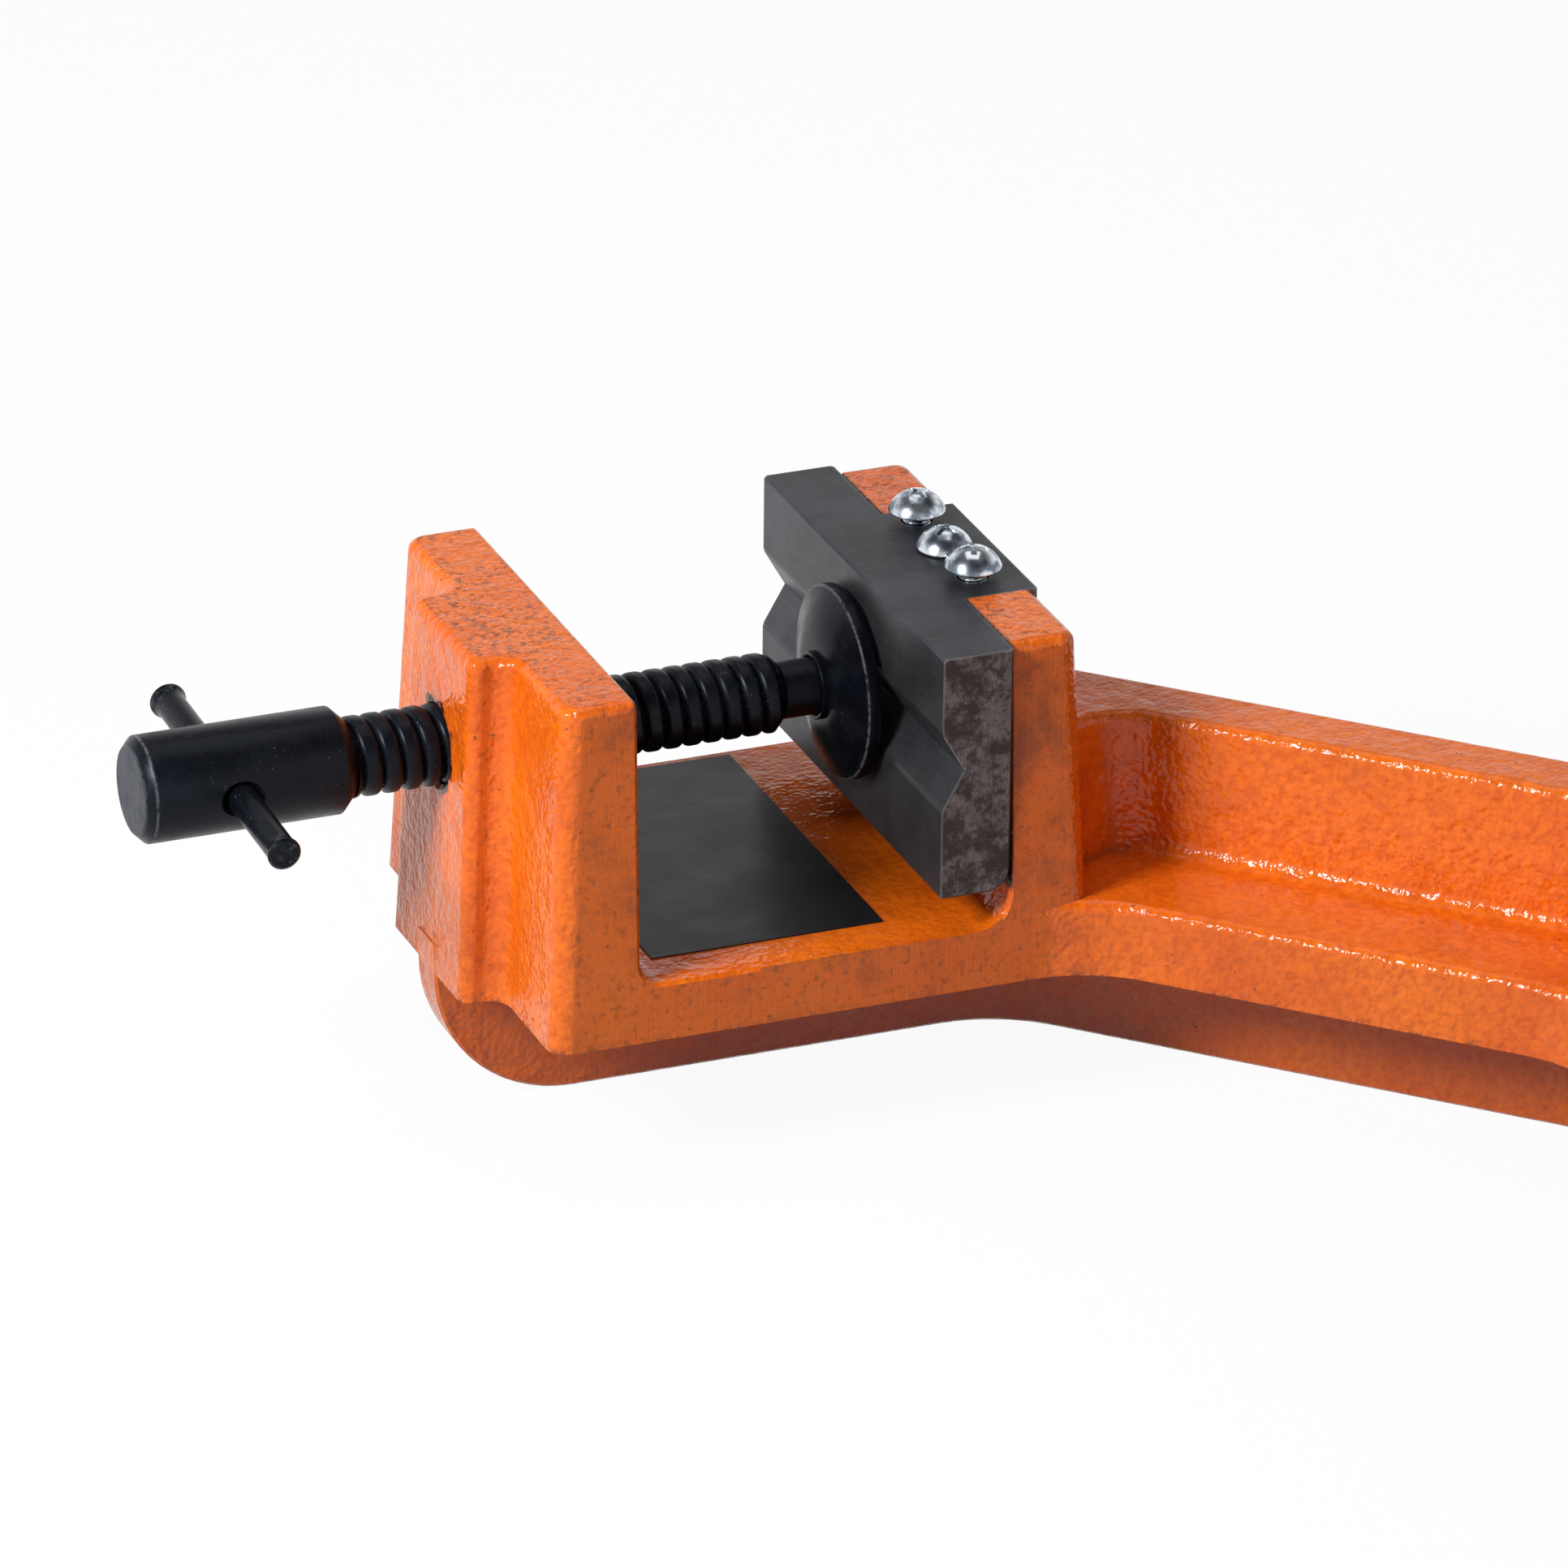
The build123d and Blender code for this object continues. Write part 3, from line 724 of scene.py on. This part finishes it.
class SpindleSettings(bpy.types.PropertyGroup):
    """The screw with its handle head."""

    pitch: a_length("Pitch", "Distance between turns of the right-hand thread", 4.4)
    thread_depth: a_length("Thread depth", "Depth of the thread below its crest", 1.45)
    crest: a_length("Crest radius", "Radius of the thread's crest", 8.48)
    neck: a_length("Neck radius", "Radius of the plain neck", 6.0)
    handle_length: a_length("Handle length", "Length of the handle head", 47.0)
    chamfer: a_length("End chamfer", "Chamfer of the handle's outer end", 2.0)
    nose: a_length("Nose chamfer", "Chamfer of the handle's inner end", 3.8)
    thread_end: a_length("Thread end", "Distance from the jaw's face to the thread's end", 16.5)
    hole: a_length("Hole radius", "Radius of the tommy bar's hole", 3.23)
    hole_chamfer: a_length("Hole chamfer", "Countersink of the tommy bar's hole", 0.9)


class PadSettings(bpy.types.PropertyGroup):
    """The swivel pad."""

    rim: a_length("Rim", "Thickness of the pad's rim", 3.0)
    rim_round: a_length("Rim edge", "Rounding of the rim's edges", 0.8)
    hub: a_length("Hub radius", "Radius of the hub at the pad's back", 7.2)
    dome: a_length("Dome", "Height of the dome from the rim to the hub", 3.6)
    socket: a_length("Socket radius", "Radius of the blind socket", 6.3)
    floor: a_length("Floor", "Thickness left between the socket and the face", 2.0)


class ScrewSettings(bpy.types.PropertyGroup):
    """The jaw screws."""

    head: a_length("Head radius", "Radius of the domed head", 6.0)
    head_height: a_length("Head height", "Height of the domed head", 4.5)
    rim: a_length("Head rim", "Height of the head's upright rim", 0.35)
    shank: a_length("Shank radius", "Radius of the thread's crest", 2.98)
    shank_depth: a_length("Thread depth", "Depth of the screw's thread", 0.45)
    shank_pitch: a_length("Thread pitch", "Pitch of the screw's thread", 1.0)
    slot: a_length("Recess width", "Width of each arm of the cross recess", 0.95)
    slot_reach: a_length("Recess reach", "Reach of each arm from the middle", 2.7)
    slot_depth: a_length("Recess depth", "Depth of the cross recess at the middle", 1.7)


class BarSettings(bpy.types.PropertyGroup):
    """The tommy bar."""

    radius: a_length("Bar radius", "Radius of the bar", 3.15)
    knob: a_length("Near end radius", "Radius of the end that is let through the handle", 3.52)
    far_knob: a_length("Far end radius", "Radius of the upset end", 3.88)
    flare: a_length("Flare", "Length over which the bar widens to its ends", 4.0)
    collar: a_length("Collar", "Length of the level collar at each end", 0.9)
    chamfer: a_length("End chamfer", "Chamfer of the end faces", 0.55)
    dish: a_length("Dish", "Depth of the dished end faces", 0.3)


class StageSettings(bpy.types.PropertyGroup):
    """Camera, lamps and floor."""

    azimuth: an_angle("Azimuth", "Turn of the view, 0 looking along +Y", 21.775)
    elevation: an_angle("Elevation", "Height of the view over the horizon", 24.942)
    roll: an_angle("Roll", "Tilt of the camera about its line of sight", 0.589)
    lens: bpy.props.FloatProperty(
        name="Lens", description="Focal length on a 36 mm sensor", default=298.14,
        subtype="DISTANCE_CAMERA", unit="CAMERA")
    frame_pixels: bpy.props.IntProperty(
        name="Frame", description="Side of the square picture in pixels", default=1932, subtype="PIXEL")
    anchor_pixel: bpy.props.FloatVectorProperty(
        name="Anchor", description="Picture place of the middle of head A's jaw top, in pixels",
        default=(1050.66, 698.30), size=2)
    pixels_per_metre: bpy.props.FloatProperty(
        name="Picture scale", description="Pixels to a metre at the anchor", default=5973.9)
    key: a_power("Key", "Power of the soft lamp on the left", 13.0)
    top: a_power("Top", "Power of the overhead soft lamp", 2.2)
    fill: a_power("Fill", "Power of the weak lamp on the right", 0.6)
    sky: a_share("Sky", "Strength of the room's light on the object", 0.20)
    ceiling: a_share("Ceiling", "Strength of the room overhead in reflections", 0.12)
    floor: a_colour("Floor", "Colour of the floor as it is seen", (0.96, 0.96, 0.96))
    floor_white: a_share("Floor white", "Share of plain white in the floor as it is seen", 0.94)
    floor_bounce: a_colour("Floor bounce", "Floor's colour as it lights the object", (0.45, 0.45, 0.45))


# Pieces

# Degrees by which each jaw screw's recess happens to be turned
RECESS_TURNS = {"a": (12.0, 38.0, 71.0), "b": (55.0, 20.0, 84.0)}

# How far the thread starts inside the handle, and how far the hole's cutter reaches past it
THREAD_OVERLAP = 0.5 * MM
CUTTER_REACH = 1.0 * MM


def handle_head(s, low, radius):
    """Handle head: a bar with a chamfered outer end and a coned nose, both with softened edges."""
    face_rings = np.linspace(0.2, 0.97, 4) * (radius - s.chamfer)
    edge, inner_ring = 0.12 * MM, 2 * MM
    end = low + s.handle_length
    profile = np.concatenate([
        np.stack([np.full(4, low), face_rings], 1),
        [(low, radius - s.chamfer - edge), (low + edge * 0.4, radius - s.chamfer)],
        [(low + s.chamfer - edge * 0.4, radius - edge * 0.5), (low + s.chamfer + edge, radius)],
        [(end - s.nose - edge, radius), (end - s.nose + edge * 0.4, radius - edge * 0.5)],
        [(end - edge * 0.4, radius - s.nose + edge * 0.3), (end, radius - s.nose - edge)],
        [(end, inner_ring)],
    ])
    return shell(turned(profile, HANDLE_SIDES))


def bar_place(head):
    """Middle and unit direction of the tommy bar in the head's own frame."""
    low, high = node_box(f"tommy_bar_{head}")
    centre = to_head((low + high) / 2, head)
    along, side = head_axes(head)
    axis = np.array(JOINTS[f"bar_slide_{head}"]["axis"], float)
    local = axis.copy()
    local[0], local[1] = axis[along], axis[side]
    return centre, local / np.linalg.norm(local)


def along_line(rings, centre, direction):
    """Rings turned about x, carried onto a line: x runs along the line from its middle."""
    first = np.array([1.0, 0.0, 0.0])
    second = np.cross(direction, first)
    basis = np.stack([direction, first, second])
    return centre + rings @ basis


def cut(surface, cutting_surface):
    """A closed surface less another, by an exact boolean."""
    body = bpy.data.objects.new("body", new_mesh("body", *surface))
    cutter = bpy.data.objects.new("cutter", new_mesh("cutter", *cutting_surface))
    for piece in (body, cutter):
        bpy.context.scene.collection.objects.link(piece)
    hole = body.modifiers.new("hole", "BOOLEAN")
    hole.operation = "DIFFERENCE"
    hole.object = cutter
    hole.solver = "EXACT"
    evaluated = body.evaluated_get(bpy.context.evaluated_depsgraph_get())
    result = bpy.data.meshes.new_from_object(evaluated)
    result.calc_loop_triangles()
    places = np.empty(len(result.vertices) * 3, np.float32)
    result.vertices.foreach_get("co", places)
    corners = np.empty(len(result.loop_triangles) * 3, np.int32)
    result.loop_triangles.foreach_get("vertices", corners)
    for piece in (body, cutter):
        bpy.data.objects.remove(piece)
    return places.reshape(-1, 3).astype(float), corners.reshape(-1, 3)


def thread_form(phase):
    """Height of the thread over its root, 0 to 1, at a share of the pitch from the crest's middle.

    With d the distance from the crest's middle as a share of half the pitch, the height is
    1 - d^4.2: a broad flattened crest over a narrow groove.
    """
    from_crest = np.abs((phase + 0.5) % 1.0 - 0.5)
    return 1 - (2 * from_crest) ** 4.2


def threaded_length(s, start, neck_end, hand):
    """Threaded length and neck as rings whose radius depends on x and on the angle t.

    r(x, t) is the root radius plus the depth times thread_form(x / pitch - hand t / 2 pi), never
    over the cone that runs down to the neck at the thread's end.
    """
    step, drop = 0.2 * MM, 0.02 * MM
    thread_end = -s.thread_end
    cone = s.crest - s.neck
    x = np.concatenate([
        np.arange(start, thread_end, step),
        [thread_end, thread_end + drop],
        np.linspace(thread_end + 0.3 * MM, neck_end, 12),
    ])
    angle = np.linspace(0, 2 * np.pi, THREAD_SIDES, endpoint=False)
    form = thread_form(x[:, None] / s.pitch - hand * angle[None, :] / (2 * np.pi))
    radius = s.crest - s.thread_depth * (1 - form)
    limit = np.where(x < thread_end, s.neck + np.minimum(cone, thread_end - x), s.neck)
    radius = np.minimum(radius, limit[:, None])
    x = np.repeat(x[:, None], len(angle), 1)
    return shell(np.stack([x, radius * np.cos(angle), radius * np.sin(angle)], 2))


class VISE_OT_casting(bpy.types.Operator):
    """Paint the casting with enamel over its rough cast skin"""

    bl_idname = "vise.casting"
    bl_label = "Casting"

    def execute(self, context):
        dress_node("frame_casting", enamel(context.scene.vise_casting))
        return {"FINISHED"}


class VISE_OT_jaws(bpy.types.Operator):
    """Give both jaw plates their ground faces and speckled ends"""

    bl_idname = "vise.jaws"
    bl_label = "Jaw plates"

    def execute(self, context):
        for head in HEADS:
            dress_node(f"jaw_plate_{head}", ground_steel(context.scene.vise_steel, head))
        return {"FINISHED"}


class VISE_OT_spindles(bpy.types.Operator):
    """Make both screws, with their threads, necks and drilled handle heads"""

    bl_idname = "vise.spindles"
    bl_label = "Spindles"

    def execute(self, context):
        s, steel = context.scene.vise_spindle, context.scene.vise_steel
        for head in HEADS:
            node = f"spindle_{head}"
            radius = radius_of(node)
            low, high = head_box(node, head)
            chamfer_edges = [(low[0], radius - s.chamfer), (low[0] + s.chamfer, radius)]
            last_crest = (-s.thread_end, s.crest - MM)
            material = black_oxide(f"black_oxide_turned_{head}", steel, roughness=0.30,
                                   wear_and_highlight_circles=[*chamfer_edges, last_crest], sawn_end=low[0])
            hole = turned(hole_profile(s, radius, radius + CUTTER_REACH), HOLE_SIDES)
            handle = cut(handle_head(s, low[0], radius), shell(along_line(hole, *bar_place(head))))
            start = low[0] + s.handle_length - THREAD_OVERLAP
            thread = threaded_length(s, start, high[0], thread_hand(head))
            add_piece(f"screw_spindle_{head}", joined([handle, thread]), head, node, material)
        return {"FINISHED"}


def hole_profile(s, radius, reach):
    """Outline of the tommy bar's hole, widening at 45 degrees where it leaves the handle.

    The widening starts deeper than the countersink's width, because the handle's round side falls
    away beside the hole.
    """
    mouth = radius - 1.6 * s.hole_chamfer
    wide = s.hole + (reach - mouth)
    return [(-reach, wide), (-mouth, s.hole), (mouth, s.hole), (reach, wide)]


class VISE_OT_tommy_bars(bpy.types.Operator):
    """Make both sliding tommy bars with their upset ends"""

    bl_idname = "vise.tommy_bars"
    bl_label = "Tommy bars"

    def execute(self, context):
        s, steel = context.scene.vise_bar, context.scene.vise_steel
        for head in HEADS:
            low, high = node_box(f"tommy_bar_{head}")
            _, side = head_axes(head)
            centre, direction = bar_place(head)
            half = (high[side] - low[side]) / 2 / abs(direction[1]) - s.far_knob * abs(direction[2])
            ends = [centre + direction * half, centre - direction * half]
            material = black_oxide(f"black_oxide_bar_{head}", steel, roughness=0.24, worn_ends=ends)
            rings = along_line(turned(bar_profile(s, half), BAR_SIDES), centre, direction)
            add_piece(f"cross_bar_{head}", shell(rings), head, f"tommy_bar_{head}", material)
        return {"FINISHED"}


def bar_profile(s, half):
    """Bar's outline from its near end to its far end.

    Each end widens along r = radius + (knob - radius) u^4, u running from 0 to 1 over the flare,
    to a level collar with a chamfer and a dished face.
    """

    def end(knob):
        u = np.linspace(1.0, 0.0, 10)
        flare = np.stack([half - s.collar - s.flare * (1 - u), s.radius + (knob - s.radius) * u**4], 1)
        face = [(half - s.dish, 0.2 * MM), (half - s.dish * 0.5, knob * 0.5), (half, knob - s.chamfer)]
        return np.concatenate([face, [(half - s.chamfer, knob)], flare])

    far = end(s.far_knob)[::-1] * [-1.0, 1.0]
    return np.concatenate([end(s.knob), far])


class VISE_OT_pads(bpy.types.Operator):
    """Make both domed swivel pads with their sockets"""

    bl_idname = "vise.pads"
    bl_label = "Swivel pads"

    def execute(self, context):
        s, steel = context.scene.vise_pad, context.scene.vise_steel
        for head in HEADS:
            node = f"swivel_pad_{head}"
            radius = radius_of(node)
            low, high = head_box(node, head)
            # The rim's back edge gets a bright ring, a painted highlight
            rim_highlight = (high[0] - s.rim, radius - 0.2 * MM)
            material = black_oxide(f"black_oxide_pad_{head}", steel, roughness=0.22,
                                   wear_and_highlight_circles=[rim_highlight], shine=0.09)
            rings = turned(pad_profile(s, low[0], high[0], radius), PAD_SIDES)
            add_piece(f"round_pad_{head}", shell(rings), head, node, material)
        return {"FINISHED"}


def pad_profile(s, back, face, radius):
    """Pad's outline from the middle of its face, over the rounded rim and dome, into the socket.

    With u running from 0 at the rim to 1 at the hub, the dome's radius falls evenly while it goes
    back by dome sin(u pi / 2)^1.15.
    """
    edge, back_edge, hub_edge, mouth_edge = s.rim_round, 0.35 * MM, 0.25 * MM, 0.2 * MM
    u = np.linspace(0.0, 1.0, 22)
    rim_back = face - s.rim
    shoulder = rim_back - s.dome * np.sin(u * np.pi / 2) ** 1.15
    dome_foot = radius - 0.3 * MM
    dome = np.stack([shoulder, dome_foot - (dome_foot - s.hub) * u], 1)
    floor = face - s.floor
    return np.concatenate([
        np.stack([np.full(5, face), np.linspace(0.1, 0.9, 5) * radius], 1),
        arc((face - edge, radius - edge), edge, 0, 90, 6),
        arc((rim_back + back_edge, radius - back_edge), back_edge, 90, 180, 4),
        dome,
        [(back + hub_edge, s.hub), (back, s.hub - hub_edge), (back, s.socket + mouth_edge)],
        [(back + mouth_edge, s.socket), (floor, s.socket), (floor, 0.5 * MM)],
    ])


class VISE_OT_screws(bpy.types.Operator):
    """Make the six domed jaw screws with cross recesses and threads"""

    bl_idname = "vise.screws"
    bl_label = "Jaw screws"

    def execute(self, context):
        s = context.scene.vise_screw
        material = bright_zinc(context.scene.vise_steel)
        for head in HEADS:
            for number, turn in enumerate(RECESS_TURNS[head], start=1):
                node = f"jaw_screw_{head}{number}"
                low, high = head_box(node, head)
                x, y, _ = (low + high) / 2
                turn = math.radians(turn)
                vertices, triangles = screw_surface(s, low[2], high[2], turn, thread_hand(head))
                surface = (vertices + [x, y, 0.0], triangles)
                add_piece(f"pan_screw_{head}{number}", surface, head, node, material)
        return {"FINISHED"}


def cross_recess(s, x, y):
    """Depth of the cross recess at a point of the head: two crossed slots with drafted sides.

    Each slot is as deep as a soft box in its width times a fall towards its reach, and the deeper
    of the two holds.
    """
    soft = 0.28 * MM
    middle = np.hypot(x, y)
    fall = 1 - 0.45 * np.clip(middle / s.slot_reach, 0, 1)

    def slot(across, ahead):
        width = 1 - smoothstep(np.abs(across), s.slot / 2 - soft / 2, s.slot / 2 + soft / 2)
        reach = 1 - smoothstep(np.abs(ahead), s.slot_reach - soft, s.slot_reach + soft)
        return width * reach

    return s.slot_depth * fall * np.maximum(slot(x, y), slot(y, x))


def screw_surface(s, bottom, top, turn, hand):
    """Domed head, its rim and underside, and the threaded shank, as rings round the upright axis.

    The dome is a cap of a sphere of radius S: z = top - (S - sqrt(S^2 - r^2)), less the recess. The
    shank's radius follows a helix for the thread's length and is the root's below it.
    """
    edge, step, thread_length = 0.12 * MM, 0.12 * MM, 6.0 * MM
    angle = np.linspace(0, 2 * np.pi, SCREW_SIDES, endpoint=False)
    c, q = np.cos(angle), np.sin(angle)
    r = np.concatenate([
        np.linspace(0.03, 1.05, 64) * s.slot_reach,
        s.head * np.sin(np.linspace(math.asin(1.1 * s.slot_reach / s.head), np.pi / 2, 22)),
    ])
    crown = s.head_height - s.rim
    sphere = (s.head**2 + crown**2) / (2 * crown)
    dome = top - (sphere - np.sqrt(sphere**2 - r**2))
    x, y = r[:, None] * c, r[:, None] * q
    turned_x = x * math.cos(turn) + y * math.sin(turn)
    turned_y = y * math.cos(turn) - x * math.sin(turn)
    z = dome[:, None] - cross_recess(s, turned_x, turned_y)
    cap = np.stack([x, y, z], 2)
    under = top - s.head_height
    rim_z = np.array([under + s.rim * 0.5, under + edge, under])
    rim_r = np.array([s.head, s.head, s.head - edge])
    shank_z = np.arange(under - 0.02 * MM, under - thread_length, -step)
    form = thread_form(shank_z[:, None] / s.shank_pitch - hand * angle[None, :] / (2 * np.pi))
    shank_r = s.shank - s.shank_depth * (1 - form)
    end_z = np.array([under - thread_length, bottom])
    end_r = np.full(2, s.shank - s.shank_depth)

    def rings(radius, height):
        if radius.ndim == 1:
            radius = np.repeat(radius[:, None], len(angle), 1)
        return np.stack([radius * c, radius * q, np.repeat(height[:, None], len(angle), 1)], 2)

    below = [rings(rim_r, rim_z), rings(shank_r, shank_z), rings(end_r, end_z)]
    return shell(np.concatenate([cap, *below]))


class VISE_OT_rings(bpy.types.Operator):
    """Give both retaining rings their plain steel"""

    bl_idname = "vise.rings"
    bl_label = "Retaining rings"

    def execute(self, context):
        material = plain_steel(context.scene.vise_steel)
        for head in HEADS:
            dress_node(f"pad_ring_{head}", material)
        return {"FINISHED"}


class VISE_OT_label(bpy.types.Operator):
    """Give the label on head A's bed its blank satin film"""

    bl_idname = "vise.label"
    bl_label = "Label"

    def execute(self, context):
        dress_node("bed_label", satin_label(context.scene.vise_steel))
        return {"FINISHED"}


def dress_node(node, material):
    """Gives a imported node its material."""
    for slot in NODES[node].material_slots:
        slot.material = material


# Stage

# How far the floor reaches each way, and how far up a reflected ray points, as a share of straight
# up, where the room starts to darken and where it is darkest
FLOOR_REACH = 6.0
OVERHEAD_FADE = (0.25, 0.80)

# Side of each square lamp, and its place from the middle of head A's jaw
LAMPS = {
    "key": (0.34, (-0.85, -0.28, 0.62)),
    "top": (0.8, (0.1, 0.25, 1.1)),
    "fill": (0.7, (0.7, -0.8, 0.45)),
}


def add_floor(s):
    """Pale floor that the vise stands on, wide enough to fill every view.

    The rays that see the background find it near white with the vise's shadow on it.
    """
    corners = FLOOR_REACH * np.array([(-1, -1, 0), (1, -1, 0), (1, 1, 0), (-1, 1, 0)], float)
    mesh = new_mesh("floor", corners, np.array([[0, 1, 2, 3]]))
    floor = bpy.data.objects.new("floor", mesh)
    bpy.context.scene.collection.objects.link(floor)
    f = Finish("pale_floor")
    path = f.node("ShaderNodeLightPath").outputs
    seen = f.most(path["Is Camera Ray"], path["Is Glossy Ray"], path["Is Transmission Ray"])
    colour = f.blend(seen, s.floor_bounce, s.floor)
    mesh.materials.append(f.surface(Base_Color=colour, Roughness=0.8, Specular_IOR_Level=0.0))
    white = f.node("ShaderNodeEmission", Strength=1.0)
    mix = f.node("ShaderNodeMixShader", Fac=f.times(seen, s.floor_white))
    f.feed(mix.inputs[1], f.shader.outputs["BSDF"])
    f.feed(mix.inputs[2], white.outputs["Emission"])
    f.feed(f.tree.nodes["Material Output"].inputs["Surface"], mix.outputs["Shader"])


def add_lamp(name, power, size, place, target):
    """Square soft lamp that looks at a target."""
    data = bpy.data.lights.new(name, "AREA")
    data.energy = power
    data.shape = "SQUARE"
    data.size = size
    lamp = bpy.data.objects.new(name, data)
    bpy.context.scene.collection.objects.link(lamp)
    lamp.location = place
    lamp.rotation_mode = "QUATERNION"
    lamp.rotation_quaternion = (Vector(target) - Vector(place)).to_track_quat("-Z", "Y")


def add_world(s):
    """White surroundings that are darker overhead in reflections and light the object more weakly.

    The strength is 1 for camera rays, runs from 1 near the horizon to the ceiling's strength
    overhead for reflections and glass, and is the sky's strength for the light on surfaces.
    """
    world = bpy.data.worlds.new("room")
    bpy.context.scene.world = world
    world.use_nodes = True
    f = Shading(world.node_tree)
    _, _, height = f.split(f.node("ShaderNodeTexCoord").outputs["Generated"])
    overhead = f.ramp(height, *OVERHEAD_FADE, 1.0, s.ceiling)
    path = f.node("ShaderNodeLightPath").outputs
    seen = f.most(path["Is Glossy Ray"], path["Is Transmission Ray"])
    background = world.node_tree.nodes["Background"]
    f.feed(background.inputs["Color"], (1.0, 1.0, 1.0))
    strength = f.most(f.between(seen, s.sky, overhead), path["Is Camera Ray"])
    f.feed(background.inputs["Strength"], strength)


def add_camera(s):
    """Camera at the photograph's angle, placed so that the jaw's top middle falls on its pixel."""
    a, e, turn = s.azimuth, s.elevation, s.roll
    forward = Vector((math.sin(a) * math.cos(e), math.cos(a) * math.cos(e), -math.sin(e)))
    level = Vector((math.cos(a), -math.sin(a), 0.0))
    upright = level.cross(forward)
    right = math.cos(turn) * level + math.sin(turn) * upright
    up = -math.sin(turn) * level + math.cos(turn) * upright
    low, high = node_box("jaw_plate_a")
    anchor = Vector((low[0], head_origin("a")[1], high[2]))
    data = bpy.data.cameras.new("camera")
    data.sensor_width = 36.0
    data.lens = s.lens
    distance = s.lens / data.sensor_width * s.frame_pixels / s.pixels_per_metre
    middle = s.frame_pixels / 2
    across = (s.anchor_pixel[0] - middle) / s.pixels_per_metre
    over = (middle - s.anchor_pixel[1]) / s.pixels_per_metre
    place = anchor - distance * forward - across * right - over * up
    camera = bpy.data.objects.new("camera", data)
    bpy.context.scene.collection.objects.link(camera)
    axes = Matrix((right, up, -forward)).transposed().to_4x4()
    camera.matrix_world = Matrix.Translation(place) @ axes
    data.clip_start, data.clip_end = 0.1, 50.0
    bpy.context.scene.camera = camera


class VISE_OT_stage(bpy.types.Operator):
    """Set up the floor, the lamps, the white surroundings and the camera"""

    bl_idname = "vise.stage"
    bl_label = "Stage"

    def execute(self, context):
        s = context.scene.vise_stage
        target = head_origin("a")
        add_floor(s)
        for name, (size, offset) in LAMPS.items():
            add_lamp(name, getattr(s, name), size, target + np.array(offset), target)
        add_world(s)
        add_camera(s)
        context.scene.view_settings.view_transform = "Standard"
        return {"FINISHED"}


class VISE_PT_panel(bpy.types.Panel):
    """Lists the vise's pieces and their settings"""

    bl_idname = "VISE_PT_panel"
    bl_label = "Corner vise"
    bl_space_type = "VIEW_3D"
    bl_region_type = "UI"
    bl_category = "Vise"

    def draw(self, context):
        for operator in OPERATORS:
            self.layout.operator(operator.bl_idname)
        for name, group in SETTINGS.items():
            box = self.layout.box()
            for key in group.__annotations__:
                box.prop(getattr(context.scene, name), key)


SETTINGS = {
    "vise_casting": CastingSettings,
    "vise_steel": SteelSettings,
    "vise_spindle": SpindleSettings,
    "vise_pad": PadSettings,
    "vise_screw": ScrewSettings,
    "vise_bar": BarSettings,
    "vise_stage": StageSettings,
}
OPERATORS = (
    VISE_OT_casting,
    VISE_OT_jaws,
    VISE_OT_screws,
    VISE_OT_spindles,
    VISE_OT_tommy_bars,
    VISE_OT_pads,
    VISE_OT_rings,
    VISE_OT_label,
    VISE_OT_stage,
)


def register():
    """Registers the settings, the operators and the panel."""
    for group in SETTINGS.values():
        bpy.utils.register_class(group)
    for operator in OPERATORS:
        bpy.utils.register_class(operator)
    bpy.utils.register_class(VISE_PT_panel)
    for name, group in SETTINGS.items():
        setattr(bpy.types.Scene, name, bpy.props.PointerProperty(type=group))


def unregister():
    """Takes back all that register adds."""
    for name in SETTINGS:
        delattr(bpy.types.Scene, name)
    bpy.utils.unregister_class(VISE_PT_panel)
    for operator in reversed(OPERATORS):
        bpy.utils.unregister_class(operator)
    for group in reversed(list(SETTINGS.values())):
        bpy.utils.unregister_class(group)


def main():
    """Builds every piece in order."""
    register()
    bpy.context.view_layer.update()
    bpy.ops.vise.casting()
    bpy.ops.vise.jaws()
    bpy.ops.vise.screws()
    bpy.ops.vise.spindles()
    bpy.ops.vise.tommy_bars()
    bpy.ops.vise.pads()
    bpy.ops.vise.rings()
    bpy.ops.vise.label()
    bpy.ops.vise.stage()


if __name__ == "__main__":
    main()
